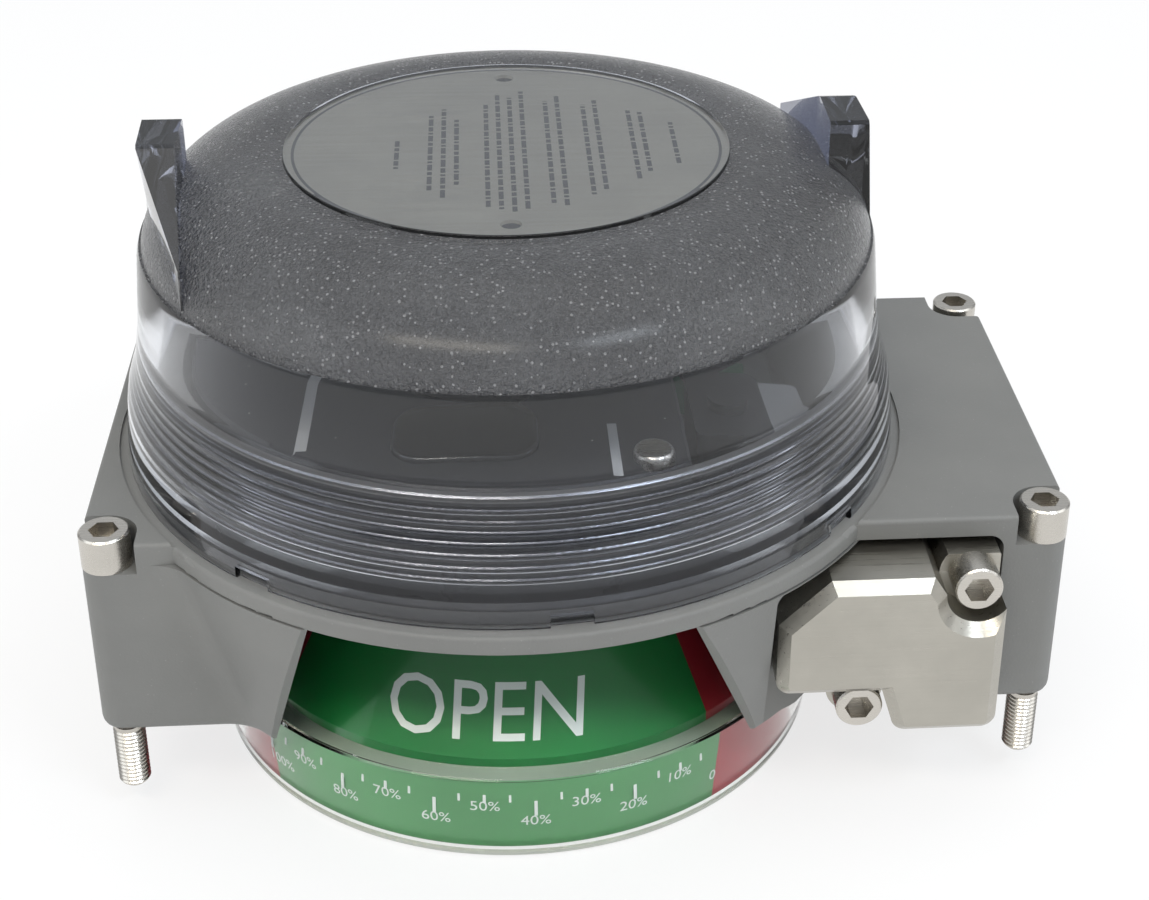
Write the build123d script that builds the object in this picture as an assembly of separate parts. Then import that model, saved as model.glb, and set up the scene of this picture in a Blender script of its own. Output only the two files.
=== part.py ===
"""Valve position monitor: a limit switch box for quarter-turn valves.

A cast housing on four leg pads carries a clear screw-on cover, a sensor
module, a pneumatic valve block and a vertical shaft.  The shaft turns a
two-colour indicator drum under the housing.

Frame: origin on the shaft axis in the plane of the leg pads, +Z up along
the shaft, X along the long side of the housing.  All lengths are in mm.
"""
from build123d import *
import os
from math import cos, radians, sin

# ---------------------------------------------------------------- housing
HOUSING_LENGTH = 164.0
HOUSING_WIDTH = 82.0
HOUSING_HEIGHT = 38.0
HOUSING_OFFSET = 10.5          # housing centre, measured from the shaft in X
CORNER_RADIUS = 3.5
PAD_EDGE_RADIUS = 2.5
TOP_EDGE_RADIUS = 0.8
FLANGE_RADIUS = 69.5
FLANGE_THICKNESS = 3.4
FLANGE_STEP = 0.6              # flange top lies this far below the top face
FLANGE_EDGE_RADIUS = 0.8
GUSSET_RADIUS = 8.0            # blend between front face and skirt
SKIRT_PAD_RADIUS = 61.6        # conical skirt, at the pad plane
FLOOR_THICKNESS = 4.0
CHAMBER_RADIUS = 57.5
NECK_WALL = 3.5
NECK_HEIGHT = 19.0             # above the top face of the housing
SIGHT_LEFT = (42.0, 33.3)      # viewing window edges from the shaft axis,
SIGHT_RIGHT = (39.2, 27.0)     # at the pad plane and under the flange
SIGHT_BEVEL = 2.0
SIGHT_DEPTH = 61.2             # the floor's round edge, seen in the window
DRUM_CLEARANCE = 2.5

# ------------------------------------------------------- mounting screws
SCREW_INSET = 4.0              # screw axes from the housing's sides
SCREW_RADIUS = 2.45
SCREW_WAIST_RADIUS = 2.0       # captive shank inside the leg
SCREW_THREAD_START = -0.4
SCREW_HOLE_RADIUS = 2.8
HEAD_RADIUS = 4.2
HEAD_HEIGHT = 6.3
HEAD_PROUD = 0.7               # head top above the top face
STUD_LENGTH = 13.0             # screw end below the leg pads
HEAD_NOTCH_RADIUS = 5.3
HEX_RADIUS = 2.5
HEX_DEPTH = 3.4

# ------------------------------------------------------------- the cover
THREAD_CLEARANCE = 0.3
COVER_GAP = 0.3                # cover rim above the flange
COVER_RIM_RADIUS = 68.0
COVER_SKIRT_HEIGHT = 10.0
COVER_SKIRT_TAPER = 0.7
COVER_WALL_INSET = 3.2         # slim wall inside the rim radius
COVER_WALL_BASE = 19.5         # start of the slim wall, above the rim
COVER_HEIGHT = 52.3            # rim to crown
COVER_CROWN_RADIUS = 40.0      # flat of the crown
SHOULDER_WIDTH = 22.5          # crown flat to the wall
SHOULDER_HEIGHT = 16.0
COVER_THICKNESS = 3.0
O_RING_SECTION = 2.7
O_RING_RADIUS = 65.0
O_RING_PLAY = 0.25
RIM_NOTCH_COUNT = 8
RIM_NOTCH_WIDTH = 6.8
RIM_NOTCH_HEIGHT = 2.2
RIM_NOTCH_DEPTH = 1.2
RIM_NOTCH_START = -83.5
LUG_HEIGHT = 4.0               # above the crown
LUG_BACK = 3.8
LUG_FLAT = 12.2
LUG_LENGTH = 38.0
LUG_RAMP_DROP = 11.4
LUG_INNER = 54.4
LUG_INNER_ANGLE = 6.5
LUG_OUTER_INSET = 1.6
NAMEPLATE_RADIUS = 37.6
NAMEPLATE_THICKNESS = 0.6
NAMEPLATE_DEPTH = 1.6          # crown face to the plate's pocket
NAMEPLATE_PLAY = 0.1
STAKE_RADIUS = 1.6
STAKE_OFFSET = 31.8

# ------------------------------------------------- shaft and its bearings
SHAFT_RADIUS = 6.0
SHAFT_TOP = 47.0
SHAFT_COLLAR_RADIUS = 9.0
SHAFT_STUB = 14.0              # below the collar, inside the coupler
SHAFT_TAP_DEPTH = 9.0
SHAFT_TIP_CHAMFER = 0.6
BUSHING_WALL = 1.5
BUSHING_FLANGE = 1.2
BUSHING_RIM = 2.5
BUSHING_LENGTH = 4.0
BOSS_RADIUS = 13.0
BOSS_HEIGHT = 6.0
RUNNING_CLEARANCE = 0.05
END_PLAY = 0.3
SEAL_SECTION = 1.5
SEAL_SQUEEZE = 0.1             # seal's mid radius above the shaft surface
SEAL_PLAY = 0.1
CLIP_THICKNESS = 1.0
CLIP_WIDTH = 3.0
CARRIER_RADIUS = 13.0
CARRIER_THICKNESS = 5.0
MAGNET_RADIUS = 2.5
MAGNET_HEIGHT = 3.0
MAGNET_OFFSET = 9.2

# ---------------------------------------------------- indicator drum
DRUM_TOP = 27.0
DRUM_TOP_RADIUS = 36.0
DRUM_STEP_RADIUS = 54.0        # foot of the cone
DRUM_RIM_RADIUS = 57.0
DRUM_FOOT_RADIUS = 55.2
DRUM_FOOT = -18.0
DRUM_STEP_THICKNESS = 1.8
LENS_WALL = 1.8
DRUM_WALL = 1.4
LENS_GAP = 0.2
DRUM_WEB_THICKNESS = 2.2
DRUM_RIB_COUNT = 6
DRUM_RIB_WIDTH = 1.8
DRUM_RIB_DEPTH = 9.0
COUPLER_RADIUS = 14.0
COUPLER_NECK_RADIUS = 9.0
COUPLER_FOOT = -13.5
COUPLER_SHOULDER = 5.0
TONGUE_WIDTH = 4.0
TONGUE_LENGTH = 20.0
TONGUE_HEIGHT = 4.0
COUPLER_SCREW_RADIUS = 2.5
COUPLER_SCREW_HEAD = 4.25
COUPLER_SCREW_HEIGHT = 5.0
COUPLER_SCREW_LENGTH = 18.0    # with the head
COUPLER_SCREW_HEX_DEPTH = 3.0
COUPLER_SEAT_DEPTH = 6.0       # head seat below the shaft's end
COUPLER_SCREW_PLAY = 0.3

# ---------------------------------------------------- sensor module
MODULE_RADIUS = 55.6
MODULE_CUT = 26.0
MODULE_HEIGHT = 19.6
PLATE_THICKNESS = 3.0
PLATE_OVERHANG = 0.6
MODULE_SEAT = 0.3
SHAFT_POCKET_RADIUS = 16.0
SHAFT_POCKET_HEIGHT = 15.0
MODULE_SCREWS = ((21.0, -48.6), (-44.0, 30.0), (17.0, 50.0))
MODULE_SCREW_HEAD = 3.2
MODULE_SCREW_HEAD_HEIGHT = 1.8
MODULE_SCREW_SHANK = 1.5
MODULE_SCREW_LENGTH = 10.0
WINDOW_CENTRE = (-8.0, -41.0)
WINDOW_SIZE = (23.0, 15.0)
WINDOW_CORNER = 5.0
WINDOW_PROUD = 0.9
WINDOW_RECESS = 1.6
BUTTONS = ((-12.0, 22.0), (8.0, 22.0))
BUTTON_RADIUS = 4.0
BUTTON_PROUD = 2.2
BUTTON_TRAVEL = 1.2
BUTTON_GUIDE_GAP = 0.3
BUTTON_FLANGE = 1.0
LAMPS = ((-12.0, 34.0), (8.0, 34.0))
LAMP_RADIUS = 2.0
BOARD_THICKNESS = 1.6
BOARD_DEPTH = 5.0              # plate underside to the board

# ------------------------------------------- parts beside the module
SOLENOID = (28.6, -40.0, 12.0, 18.0, 21.0)
CONNECTOR = (41.4, -28.4, 7.4, 14.0, 15.0)
TERMINAL = (30.0, 1.0, 13.0, 36.0, 14.0)
TERMINAL_WAYS = 7
TERMINAL_SCREW_RADIUS = 1.6
TERMINAL_SCREW_SHARE = 0.35    # screw row across the strip's width
TERMINAL_WELL_DEPTH = 5.0
TERMINAL_WELL_PLAY = 0.2
TERMINAL_SCREW_SUNK = 1.2
TERMINAL_MOUTH = (4.0, 3.0, 7.5)    # depth, and its two heights
TERMINAL_MOUTH_SHARE = 0.64
GROUND_SCREW_AT = (50.2, -6.0)
GROUND_SCREW_RADIUS = 3.0
GROUND_SCREW_HEIGHT = 2.0
GROUND_SCREW_REACH = 3.0

# ------------------------------------------------ pneumatic valve block
BLOCK_LEFT = 42.2
BLOCK_RIGHT = 80.0
BLOCK_FRONT = -52.5
BLOCK_BACK = -24.0
BLOCK_TOP = 33.0
BLOCK_LOW = 10.6
BLOCK_FOOT = 2.2
BLOCK_STEP = 60.2              # foot of the block, from the left
BLOCK_STEP_RUN = 2.6
BLOCK_BEVEL = 8.4
BLOCK_EDGE = 1.9
BLOCK_CORNER = 2.6
BLOCK_PLAY = 1.2
BLOCK_SKIRT_GAP = 0.8
SCALLOP_RADIUS = 5.6
SCALLOP_LEAN = 2.2             # slant of its left wall
BLOCK_SCREWS = ((75.4, 29.5, -49.6), (57.1, 5.1, -48.0))
BLOCK_SCREW_END = (-14.0, -20.5)
BLOCK_SCREW_HEAD = 5.6
BLOCK_EAR_RADIUS = 4.9
GASKET_THICKNESS = 0.9
SPOOL_RADIUS = 4.0
SPOOL_TRAVEL = 3.0
SPOOL_AT = (-36.0, 18.0)
SPOOL_BORE_END = 58.0
SPOOL_LAND = 2.6
SPOOL_GROOVE = 1.2
SPOOL_PLUG = 4.0
SPOOL_PLUG_SUNK = 0.2
SPOOL_END_PLAY = 0.5           # left at both ends of the travel
RECESS_WALL_MARGIN = 1.4
RECESS_CORNER = 2.6

# ------------------------------------------------ conduits and ports
CONDUIT_RADIUS = 9.25
CONDUIT_HEIGHT = 18.0
SIDE_CONDUIT_Y = 14.0
REAR_CONDUIT_INSET = 24.5      # rear entry from the +X side
CONDUIT_DEPTH = 13.0
CONDUIT_CHAMFER = 1.0
WIREWAY_LENGTH = 15.0
WIREWAY_FLOOR = 8.0
WIREWAY_TOP = 30.0
WIREWAY_NECK = 50.5
WIREWAY_SILL = 24.0
PLUG_LENGTH = 10.0
PLUG_PLAY = 0.05
PLUG_HEX = 5.0
PORT_RADIUS = 4.4
PORT_DEPTH = 9.0
PORTS_Y = (-24.0, -8.0)

# ---------------------------------------------------------- derived sizes
SCREW_SPACING_X = HOUSING_LENGTH - 2 * SCREW_INSET
SCREW_SPACING_Y = HOUSING_WIDTH - 2 * SCREW_INSET
SIDE_LEFT = HOUSING_OFFSET - HOUSING_LENGTH / 2
SIDE_RIGHT = HOUSING_OFFSET + HOUSING_LENGTH / 2
SIDE_FRONT = -HOUSING_WIDTH / 2
SIDE_REAR = HOUSING_WIDTH / 2
REAR_CONDUIT_X = SIDE_RIGHT - REAR_CONDUIT_INSET
FLANGE_TOP = HOUSING_HEIGHT - FLANGE_STEP
FLANGE_BOTTOM = FLANGE_TOP - FLANGE_THICKNESS
CHAMBER_FLOOR = FLANGE_BOTTOM
CAVITY_TOP = CHAMBER_FLOOR - FLOOR_THICKNESS
NECK_RADIUS = CHAMBER_RADIUS + NECK_WALL
NECK_TOP = HOUSING_HEIGHT + NECK_HEIGHT
COVER_RIM = FLANGE_TOP + COVER_GAP
COVER_TOP = COVER_RIM + COVER_HEIGHT
COVER_SKIRT_TOP_RADIUS = COVER_RIM_RADIUS - COVER_SKIRT_TAPER
COVER_WALL_RADIUS = COVER_RIM_RADIUS - COVER_WALL_INSET
COVER_BORE = NECK_RADIUS + THREAD_CLEARANCE
SHOULDER_WALL = COVER_CROWN_RADIUS + SHOULDER_WIDTH
SHOULDER_BASE = COVER_TOP - SHOULDER_HEIGHT
BUSHING_RADIUS = SHAFT_RADIUS + RUNNING_CLEARANCE + BUSHING_WALL
BOSS_TOP = CHAMBER_FLOOR + BOSS_HEIGHT
SEAL_RADIUS = SHAFT_RADIUS + SEAL_SQUEEZE
SEAL_BORE_RADIUS = SEAL_RADIUS + SEAL_SECTION / 2 + SEAL_PLAY
COLLAR_TOP = CAVITY_TOP - BUSHING_FLANGE - END_PLAY
COLLAR_BOTTOM = DRUM_TOP
STUB_END = COLLAR_BOTTOM - DRUM_WEB_THICKNESS - SHAFT_STUB
COUPLER_SEAT = STUB_END - COUPLER_SEAT_DEPTH
MODULE_BASE = CHAMBER_FLOOR + MODULE_SEAT
PLATE_BOTTOM = MODULE_BASE + MODULE_HEIGHT
PLATE_TOP = PLATE_BOTTOM + PLATE_THICKNESS
PLATE_RADIUS = MODULE_RADIUS + PLATE_OVERHANG
PLATE_CUT = MODULE_CUT + PLATE_OVERHANG
BOARD_TOP = PLATE_BOTTOM - BOARD_DEPTH
HEAD_TOP = HOUSING_HEIGHT + HEAD_PROUD
HEAD_SEAT = HEAD_TOP - HEAD_HEIGHT
BLOCK_FENCE = SKIRT_PAD_RADIUS + BLOCK_SKIRT_GAP
SPOOL_PLUG_FACE = BLOCK_RIGHT - SPOOL_PLUG_SUNK - SPOOL_PLUG
MOUNT_POINTS = [
    (HOUSING_OFFSET + i * SCREW_SPACING_X / 2, j * SCREW_SPACING_Y / 2)
    for i in (-1, 1)
    for j in (-1, 1)
]
FAR = 400.0

BASE = (Align.CENTER, Align.CENTER, Align.MIN)


# ---------------------------------------------------------------- helpers
def rod(radius, low, high, at=(0.0, 0.0)):
    """Upright cylinder between two heights."""
    return Pos(at[0], at[1], low) * Cylinder(radius, high - low, align=BASE)


def tube(outer, inner, low, high, at=(0.0, 0.0)):
    """Upright ring between two heights."""
    return rod(outer, low, high, at) - rod(inner, low - 1, high + 1, at)


def block(x0, x1, y0, y1, z0, z1):
    """Box between two corners."""
    centre = Pos((x0 + x1) / 2, (y0 + y1) / 2, z0)
    return centre * Box(x1 - x0, y1 - y0, z1 - z0, align=BASE)


def turned(points):
    """Solid of revolution about Z from (radius, height) points."""
    outline = Polyline(*[(r, 0, z) for r, z in points], close=True)
    return revolve(make_face(outline), Axis.Z)


def rod_x(radius, x0, x1, y, z):
    """Cylinder along X."""
    cylinder = Cylinder(radius, x1 - x0, align=BASE)
    return Pos(x0, y, z) * Rot(0, 90, 0) * cylinder


def rod_y(radius, y0, y1, x, z):
    """Cylinder along Y."""
    cylinder = Cylinder(radius, y1 - y0, align=BASE)
    return Pos(x, y0, z) * Rot(-90, 0, 0) * cylinder


def hexagon(radius, low, high, at=(0.0, 0.0)):
    """Upright hexagonal prism for a socket."""
    prism = extrude(RegularPolygon(radius, 6), high - low)
    return Pos(at[0], at[1], low) * prism


def ring_of(section, radius, height):
    """O-ring of round section."""
    return Pos(0, 0, height) * Torus(radius, section / 2)


def cap_screw(radius, head, head_height, length, hexa, depth):
    """Socket head screw, head top at z = 0, shank downwards."""
    body = rod(head, -head_height, 0)
    rim = body.edges().filter_by(GeomType.CIRCLE).sort_by(Axis.Z)[-1]
    body = chamfer(rim, head / 14)
    shank = rod(radius, -length, -head_height)
    tip = shank.edges().filter_by(GeomType.CIRCLE).sort_by(Axis.Z)[0]
    shank = chamfer(tip, radius / 4)
    return body + shank - hexagon(hexa, -depth, 1)


# --------------------------------------------------------------- housing
def skirt_radius(height):
    """Outer radius of the housing's conical skirt at a height."""
    rise = height / FLANGE_BOTTOM
    return SKIRT_PAD_RADIUS + (FLANGE_RADIUS - SKIRT_PAD_RADIUS) * rise


def lens_radius(height):
    """Outer radius of the indicator's cone at a height."""
    share = height / DRUM_TOP
    return DRUM_STEP_RADIUS + (DRUM_TOP_RADIUS - DRUM_STEP_RADIUS) * share


def drum_cavity():
    """Space under the housing in which the indicator turns."""
    wall = DRUM_RIM_RADIUS + DRUM_CLEARANCE
    top = lens_radius(CAVITY_TOP) + DRUM_CLEARANCE * 2
    return turned([
        (0, -1),
        (wall, -1),
        (wall, DRUM_CLEARANCE),
        (top, CAVITY_TOP),
        (0, CAVITY_TOP),
    ])


def viewing_windows():
    """Tapered openings at front and rear that show the indicator."""
    outline = Polyline(
        (-SIGHT_LEFT[0], 0, -1), (SIGHT_RIGHT[0], 0, -1),
        (SIGHT_RIGHT[1], 0, FLANGE_BOTTOM),
        (-SIGHT_LEFT[1], 0, FLANGE_BOTTOM), close=True,
    )
    span = extrude(make_face(outline), HOUSING_WIDTH, both=True)
    return span - rod(SIGHT_DEPTH, CAVITY_TOP, FLANGE_BOTTOM + 1)


def on_skirt(x, height):
    """Point of the skirt's front surface."""
    return Vector(x, -(skirt_radius(height) ** 2 - x * x) ** 0.5, height)


def sight_bevels():
    """Cutters that bevel the upright edges of the viewing windows."""
    cuts = []
    for side, (low, high) in ((-1, SIGHT_LEFT), (1, SIGHT_RIGHT)):
        foot = on_skirt(side * low, 0)
        head = on_skirt(side * high, FLANGE_BOTTOM)
        edge = (head - foot).normalized()
        middle = (foot + head) * 0.5
        out = Vector(middle.X, middle.Y, 0).normalized()
        slope = Vector(side, 0, 0) + out
        normal = edge.cross(slope).normalized()
        if normal.dot(out) < 0:
            normal = normal * -1
        plane = Plane(
            origin=middle - out * SIGHT_BEVEL, x_dir=edge, z_dir=normal,
        )
        reach = SIGHT_BEVEL * 5
        wedge = plane * Box(2 * HOUSING_HEIGHT, reach, reach, align=BASE)
        wedge &= block(-FAR, FAR, -FAR, 0, -1, FLANGE_BOTTOM)
        cuts += [wedge, mirror(wedge, Plane.XZ)]
    return cuts


def corner_notch(x, y):
    """Counterbore for a screw head, open to the housing's corner."""
    out_x = 1 if x > HOUSING_OFFSET else -1
    out_y = 1 if y > 0 else -1
    radius = HEAD_NOTCH_RADIUS
    cut = rod(radius, HEAD_SEAT, HOUSING_HEIGHT + 1, (x, y))
    reach = radius * 3
    for dx, dy in ((0, 1), (1, 0), (1, 1)):
        x_far = x + out_x * (reach if dx else radius)
        y_far = y + out_y * (reach if dy else radius)
        x_near = x - out_x * (0 if dx else radius)
        y_near = y - out_y * (0 if dy else radius)
        cut += block(
            min(x_near, x_far), max(x_near, x_far),
            min(y_near, y_far), max(y_near, y_far),
            HEAD_SEAT, HOUSING_HEIGHT + 1,
        )
    return cut


def block_recess():
    """Pocket for the valve block, open to the front and below."""
    pocket = block(
        BLOCK_LEFT - BLOCK_PLAY, BLOCK_RIGHT + BLOCK_PLAY,
        -FAR, BLOCK_BACK + GASKET_THICKNESS,
        -1, BLOCK_TOP + RECESS_WALL_MARGIN,
    )
    edges = pocket.edges().filter_by(Axis.Y).sort_by(Axis.Z)[-2:]
    pocket = fillet(edges, RECESS_CORNER)
    pocket -= rod(FLANGE_RADIUS, FLANGE_BOTTOM - 0.2, HOUSING_HEIGHT)
    return pocket - rod(SKIRT_PAD_RADIUS + 0.1, -2, HOUSING_HEIGHT)


def wireway():
    """Conduit entries and the passage up to the chamber."""
    end = SIDE_RIGHT - CONDUIT_DEPTH
    back = SIDE_REAR - CONDUIT_DEPTH
    z = CONDUIT_HEIGHT
    y0 = SIDE_CONDUIT_Y - CONDUIT_RADIUS
    cut = block(
        end - WIREWAY_LENGTH, end + 1, y0, back, WIREWAY_FLOOR, WIREWAY_TOP,
    )
    cut += block(WIREWAY_NECK, end, y0, back - 4, WIREWAY_SILL, WIREWAY_TOP)
    slot = block(
        WIREWAY_NECK, CHAMBER_RADIUS, y0, back - 4,
        WIREWAY_TOP - 1, CHAMBER_FLOOR + 1,
    )
    cut += slot & rod(CHAMBER_RADIUS, 0, HOUSING_HEIGHT)
    cut += rod_x(CONDUIT_RADIUS, end, SIDE_RIGHT + 1, SIDE_CONDUIT_Y, z)
    cut += rod_y(CONDUIT_RADIUS, back, SIDE_REAR + 1, REAR_CONDUIT_X, z)
    return cut


def housing_blank():
    """Block and conical skirt, blended, with the round flange on top."""
    body = block(
        SIDE_LEFT, SIDE_RIGHT, SIDE_FRONT, SIDE_REAR, 0, HOUSING_HEIGHT,
    )
    body = fillet(body.edges().filter_by(Axis.Z), CORNER_RADIUS)
    body += turned([
        (0, 0),
        (skirt_radius(0), 0),
        (skirt_radius(HOUSING_HEIGHT), HOUSING_HEIGHT),
        (0, HOUSING_HEIGHT),
    ])
    seams = [e for e in body.edges() if e.geom_type == GeomType.HYPERBOLA]
    body = fillet(seams, GUSSET_RADIUS)
    body = fillet(body.edges().group_by(Axis.Z)[0], PAD_EDGE_RADIUS)
    for near, far in ((-FAR, SIDE_FRONT), (SIDE_REAR, FAR)):
        body -= block(-FAR, FAR, near, far, FLANGE_BOTTOM, FAR)
    body = fillet(body.edges().group_by(Axis.Z)[-1], TOP_EDGE_RADIUS)
    body -= rod(FLANGE_RADIUS, FLANGE_TOP, HOUSING_HEIGHT + 1)
    flange = rod(FLANGE_RADIUS, FLANGE_BOTTOM, FLANGE_TOP)
    rims = flange.edges().filter_by(GeomType.CIRCLE)
    return body + fillet(rims, FLANGE_EDGE_RADIUS)


def make_housing():
    """Casting with flange, threaded neck, skirt, windows and pockets."""
    body = housing_blank()
    body += rod(NECK_RADIUS, FLANGE_TOP - 1, NECK_TOP)
    body -= rod(CHAMBER_RADIUS, CHAMBER_FLOOR, NECK_TOP + 1)
    body += rod(BOSS_RADIUS, CHAMBER_FLOOR - 1, BOSS_TOP)
    body -= drum_cavity()
    body -= viewing_windows()
    for cut in sight_bevels():
        body -= cut
    body -= rod(SEAL_BORE_RADIUS, CAVITY_TOP - 1, BOSS_TOP + 1)
    body -= rod(BUSHING_RADIUS, CAVITY_TOP - 1, CAVITY_TOP + BUSHING_LENGTH)
    body -= rod(BUSHING_RADIUS, BOSS_TOP - BUSHING_LENGTH, BOSS_TOP + 1)
    for point in MOUNT_POINTS:
        body -= corner_notch(*point)
        body -= rod(SCREW_HOLE_RADIUS, -1, HOUSING_HEIGHT, point)
    body -= block_recess()
    for (x, z, front), end in zip(BLOCK_SCREWS, BLOCK_SCREW_END):
        body -= rod_y(SCREW_RADIUS + PLUG_PLAY, front, end + 0.5, x, z)
    body -= wireway()
    for y in PORTS_Y:
        body -= rod_x(
            PORT_RADIUS, SIDE_RIGHT - PORT_DEPTH, SIDE_RIGHT + 1,
            y, CONDUIT_HEIGHT,
        )
    x, y = GROUND_SCREW_AT
    body -= rod(
        MODULE_SCREW_SHANK + PLUG_PLAY,
        CHAMBER_FLOOR - GROUND_SCREW_REACH - 0.2,
        CHAMBER_FLOOR + 1, (x, y),
    )
    return body


# ----------------------------------------------------------------- cover
def cover_outline(inset):
    """Half profile of the cover, moved inwards by a wall thickness."""
    wall = SHOULDER_WALL - inset
    crown = COVER_TOP - inset
    bend = Plane.XZ * EllipticalCenterArc(
        (COVER_CROWN_RADIUS, SHOULDER_BASE),
        SHOULDER_WIDTH - inset, SHOULDER_HEIGHT - inset,
    )
    return bend, wall, crown


def cover_shell():
    """Outer body of the cover, turned as one profile."""
    bend, wall, crown = cover_outline(0)
    skirt_top = COVER_RIM + COVER_SKIRT_HEIGHT
    wall_base = COVER_RIM + COVER_WALL_BASE
    path = Line((0, 0, COVER_RIM), (COVER_RIM_RADIUS, 0, COVER_RIM))
    path += Line(
        (COVER_RIM_RADIUS, 0, COVER_RIM),
        (COVER_SKIRT_TOP_RADIUS, 0, skirt_top),
    )
    path += Spline(
        (COVER_SKIRT_TOP_RADIUS, 0, skirt_top),
        (COVER_WALL_RADIUS, 0, wall_base),
        tangents=((-0.08, 0, 1), (-0.08, 0, 1)),
    )
    path += Line(
        (COVER_WALL_RADIUS, 0, wall_base), (wall, 0, SHOULDER_BASE),
    )
    path += bend
    path += Line((COVER_CROWN_RADIUS, 0, crown), (0, 0, crown))
    path += Line((0, 0, crown), (0, 0, COVER_RIM))
    return revolve(make_face(path), Axis.Z)


def cover_hollow():
    """Inside of the cover: threaded bore, then the domed space."""
    bend, wall, crown = cover_outline(COVER_THICKNESS)
    top = NECK_TOP + 3
    path = Line((0, 0, COVER_RIM - 1), (COVER_BORE, 0, COVER_RIM - 1))
    path += Line((COVER_BORE, 0, COVER_RIM - 1), (COVER_BORE, 0, top))
    path += Line((COVER_BORE, 0, top), (wall, 0, SHOULDER_BASE))
    path += bend
    path += Line((COVER_CROWN_RADIUS, 0, crown), (0, 0, crown))
    path += Line((0, 0, crown), (0, 0, COVER_RIM - 1))
    return revolve(make_face(path), Axis.Z)


def cover_lug():
    """Ratchet-shaped grip on the -X side: steep back, flat top, ramp."""
    top = COVER_TOP + LUG_HEIGHT
    foot = SHOULDER_BASE + 2
    front = LUG_BACK - LUG_FLAT
    end = LUG_BACK - LUG_LENGTH
    outline = Polyline(
        (0, LUG_BACK, foot), (0, LUG_BACK, top), (0, front, top),
        (0, end, top - LUG_RAMP_DROP), (0, end, foot), close=True,
    )
    wedge = extrude(make_face(outline), -FAR / 4, dir=(1, 0, 0))
    limit = turned([
        (0, foot - 1),
        (SHOULDER_WALL, foot - 1),
        (SHOULDER_WALL - LUG_OUTER_INSET, top + 1),
        (0, top + 1),
    ])
    keep = Pos(-LUG_INNER, front, 0) * Rot(0, 0, LUG_INNER_ANGLE)
    keep = keep * block(-FAR, 0, -FAR, FAR, -FAR, FAR)
    lug = wedge & limit & keep
    corner = lug.edges().filter_by(Axis.Z).sort_by(Axis.Y)[-1]
    return fillet(corner, 0.8)


def make_cover():
    """Clear screw-on cover with grips, O-ring groove and name window."""
    cover = cover_shell()
    lug = cover_lug()
    cover += lug
    cover += Rot(0, 0, 180) * lug
    cover -= cover_hollow()
    half = O_RING_SECTION / 2 + O_RING_PLAY
    cover -= tube(
        O_RING_RADIUS + half, O_RING_RADIUS - half,
        COVER_RIM - 1, COVER_RIM + O_RING_SECTION + O_RING_PLAY,
    )
    pocket = COVER_TOP - NAMEPLATE_DEPTH
    cover -= rod(
        NAMEPLATE_RADIUS + NAMEPLATE_PLAY * 2,
        COVER_TOP - COVER_THICKNESS - 1, pocket,
    )
    for side in (-1, 1):
        cover += rod(
            STAKE_RADIUS, COVER_TOP - COVER_THICKNESS, pocket + 0.2,
            (0, side * STAKE_OFFSET),
        )
    slot = block(
        COVER_RIM_RADIUS - RIM_NOTCH_DEPTH, COVER_RIM_RADIUS + 1,
        -RIM_NOTCH_WIDTH / 2, RIM_NOTCH_WIDTH / 2,
        COVER_RIM - 1, COVER_RIM + RIM_NOTCH_HEIGHT,
    )
    for i in range(RIM_NOTCH_COUNT):
        turn = RIM_NOTCH_START + i * 360 / RIM_NOTCH_COUNT
        cover -= Rot(0, 0, turn) * slot
    return cover


def make_nameplate():
    """Round metal plate staked under the clear window."""
    top = COVER_TOP - NAMEPLATE_DEPTH - NAMEPLATE_PLAY
    plate = rod(NAMEPLATE_RADIUS, top - NAMEPLATE_THICKNESS, top)
    for side in (-1, 1):
        plate -= rod(
            STAKE_RADIUS + NAMEPLATE_PLAY, COVER_TOP - 9, COVER_TOP,
            (0, side * STAKE_OFFSET),
        )
    return plate


# ----------------------------------------------------- shaft and bearings
def make_bushing(at, flange_up):
    """Flanged plain bearing."""
    bore = SHAFT_RADIUS + RUNNING_CLEARANCE
    rim = BUSHING_RADIUS + BUSHING_RIM
    if flange_up:
        body = tube(BUSHING_RADIUS, bore, at - BUSHING_LENGTH, at)
        return body + tube(rim, bore, at, at + BUSHING_FLANGE)
    body = tube(BUSHING_RADIUS, bore, at, at + BUSHING_LENGTH)
    return body + tube(rim, bore, at - BUSHING_FLANGE, at)


def seal_height():
    """Mid height between the two bushings."""
    return (CAVITY_TOP + BOSS_TOP) / 2


def clip_height():
    """Underside of the retaining clip."""
    return BOSS_TOP + BUSHING_FLANGE + END_PLAY


def make_shaft():
    """Stainless shaft with collar, seal groove and clip groove."""
    shaft = rod(SHAFT_RADIUS, STUB_END, SHAFT_TOP)
    shaft += rod(SHAFT_COLLAR_RADIUS, COLLAR_BOTTOM, COLLAR_TOP)
    tip = shaft.edges().filter_by(GeomType.CIRCLE).sort_by(Axis.Z)[-1]
    shaft = chamfer(tip, SHAFT_TIP_CHAMFER)
    half = SEAL_SECTION / 2 + 0.1
    mid = seal_height()
    shaft -= tube(
        SHAFT_RADIUS + 1, SHAFT_RADIUS - SEAL_SECTION / 2 - 0.1,
        mid - half, mid + half,
    )
    clip = clip_height()
    shaft -= tube(
        SHAFT_RADIUS + 1, SHAFT_RADIUS - 1,
        clip, clip + CLIP_THICKNESS,
    )
    shaft -= rod(COUPLER_SCREW_RADIUS, STUB_END - 1, STUB_END + SHAFT_TAP_DEPTH)
    return shaft


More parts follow.
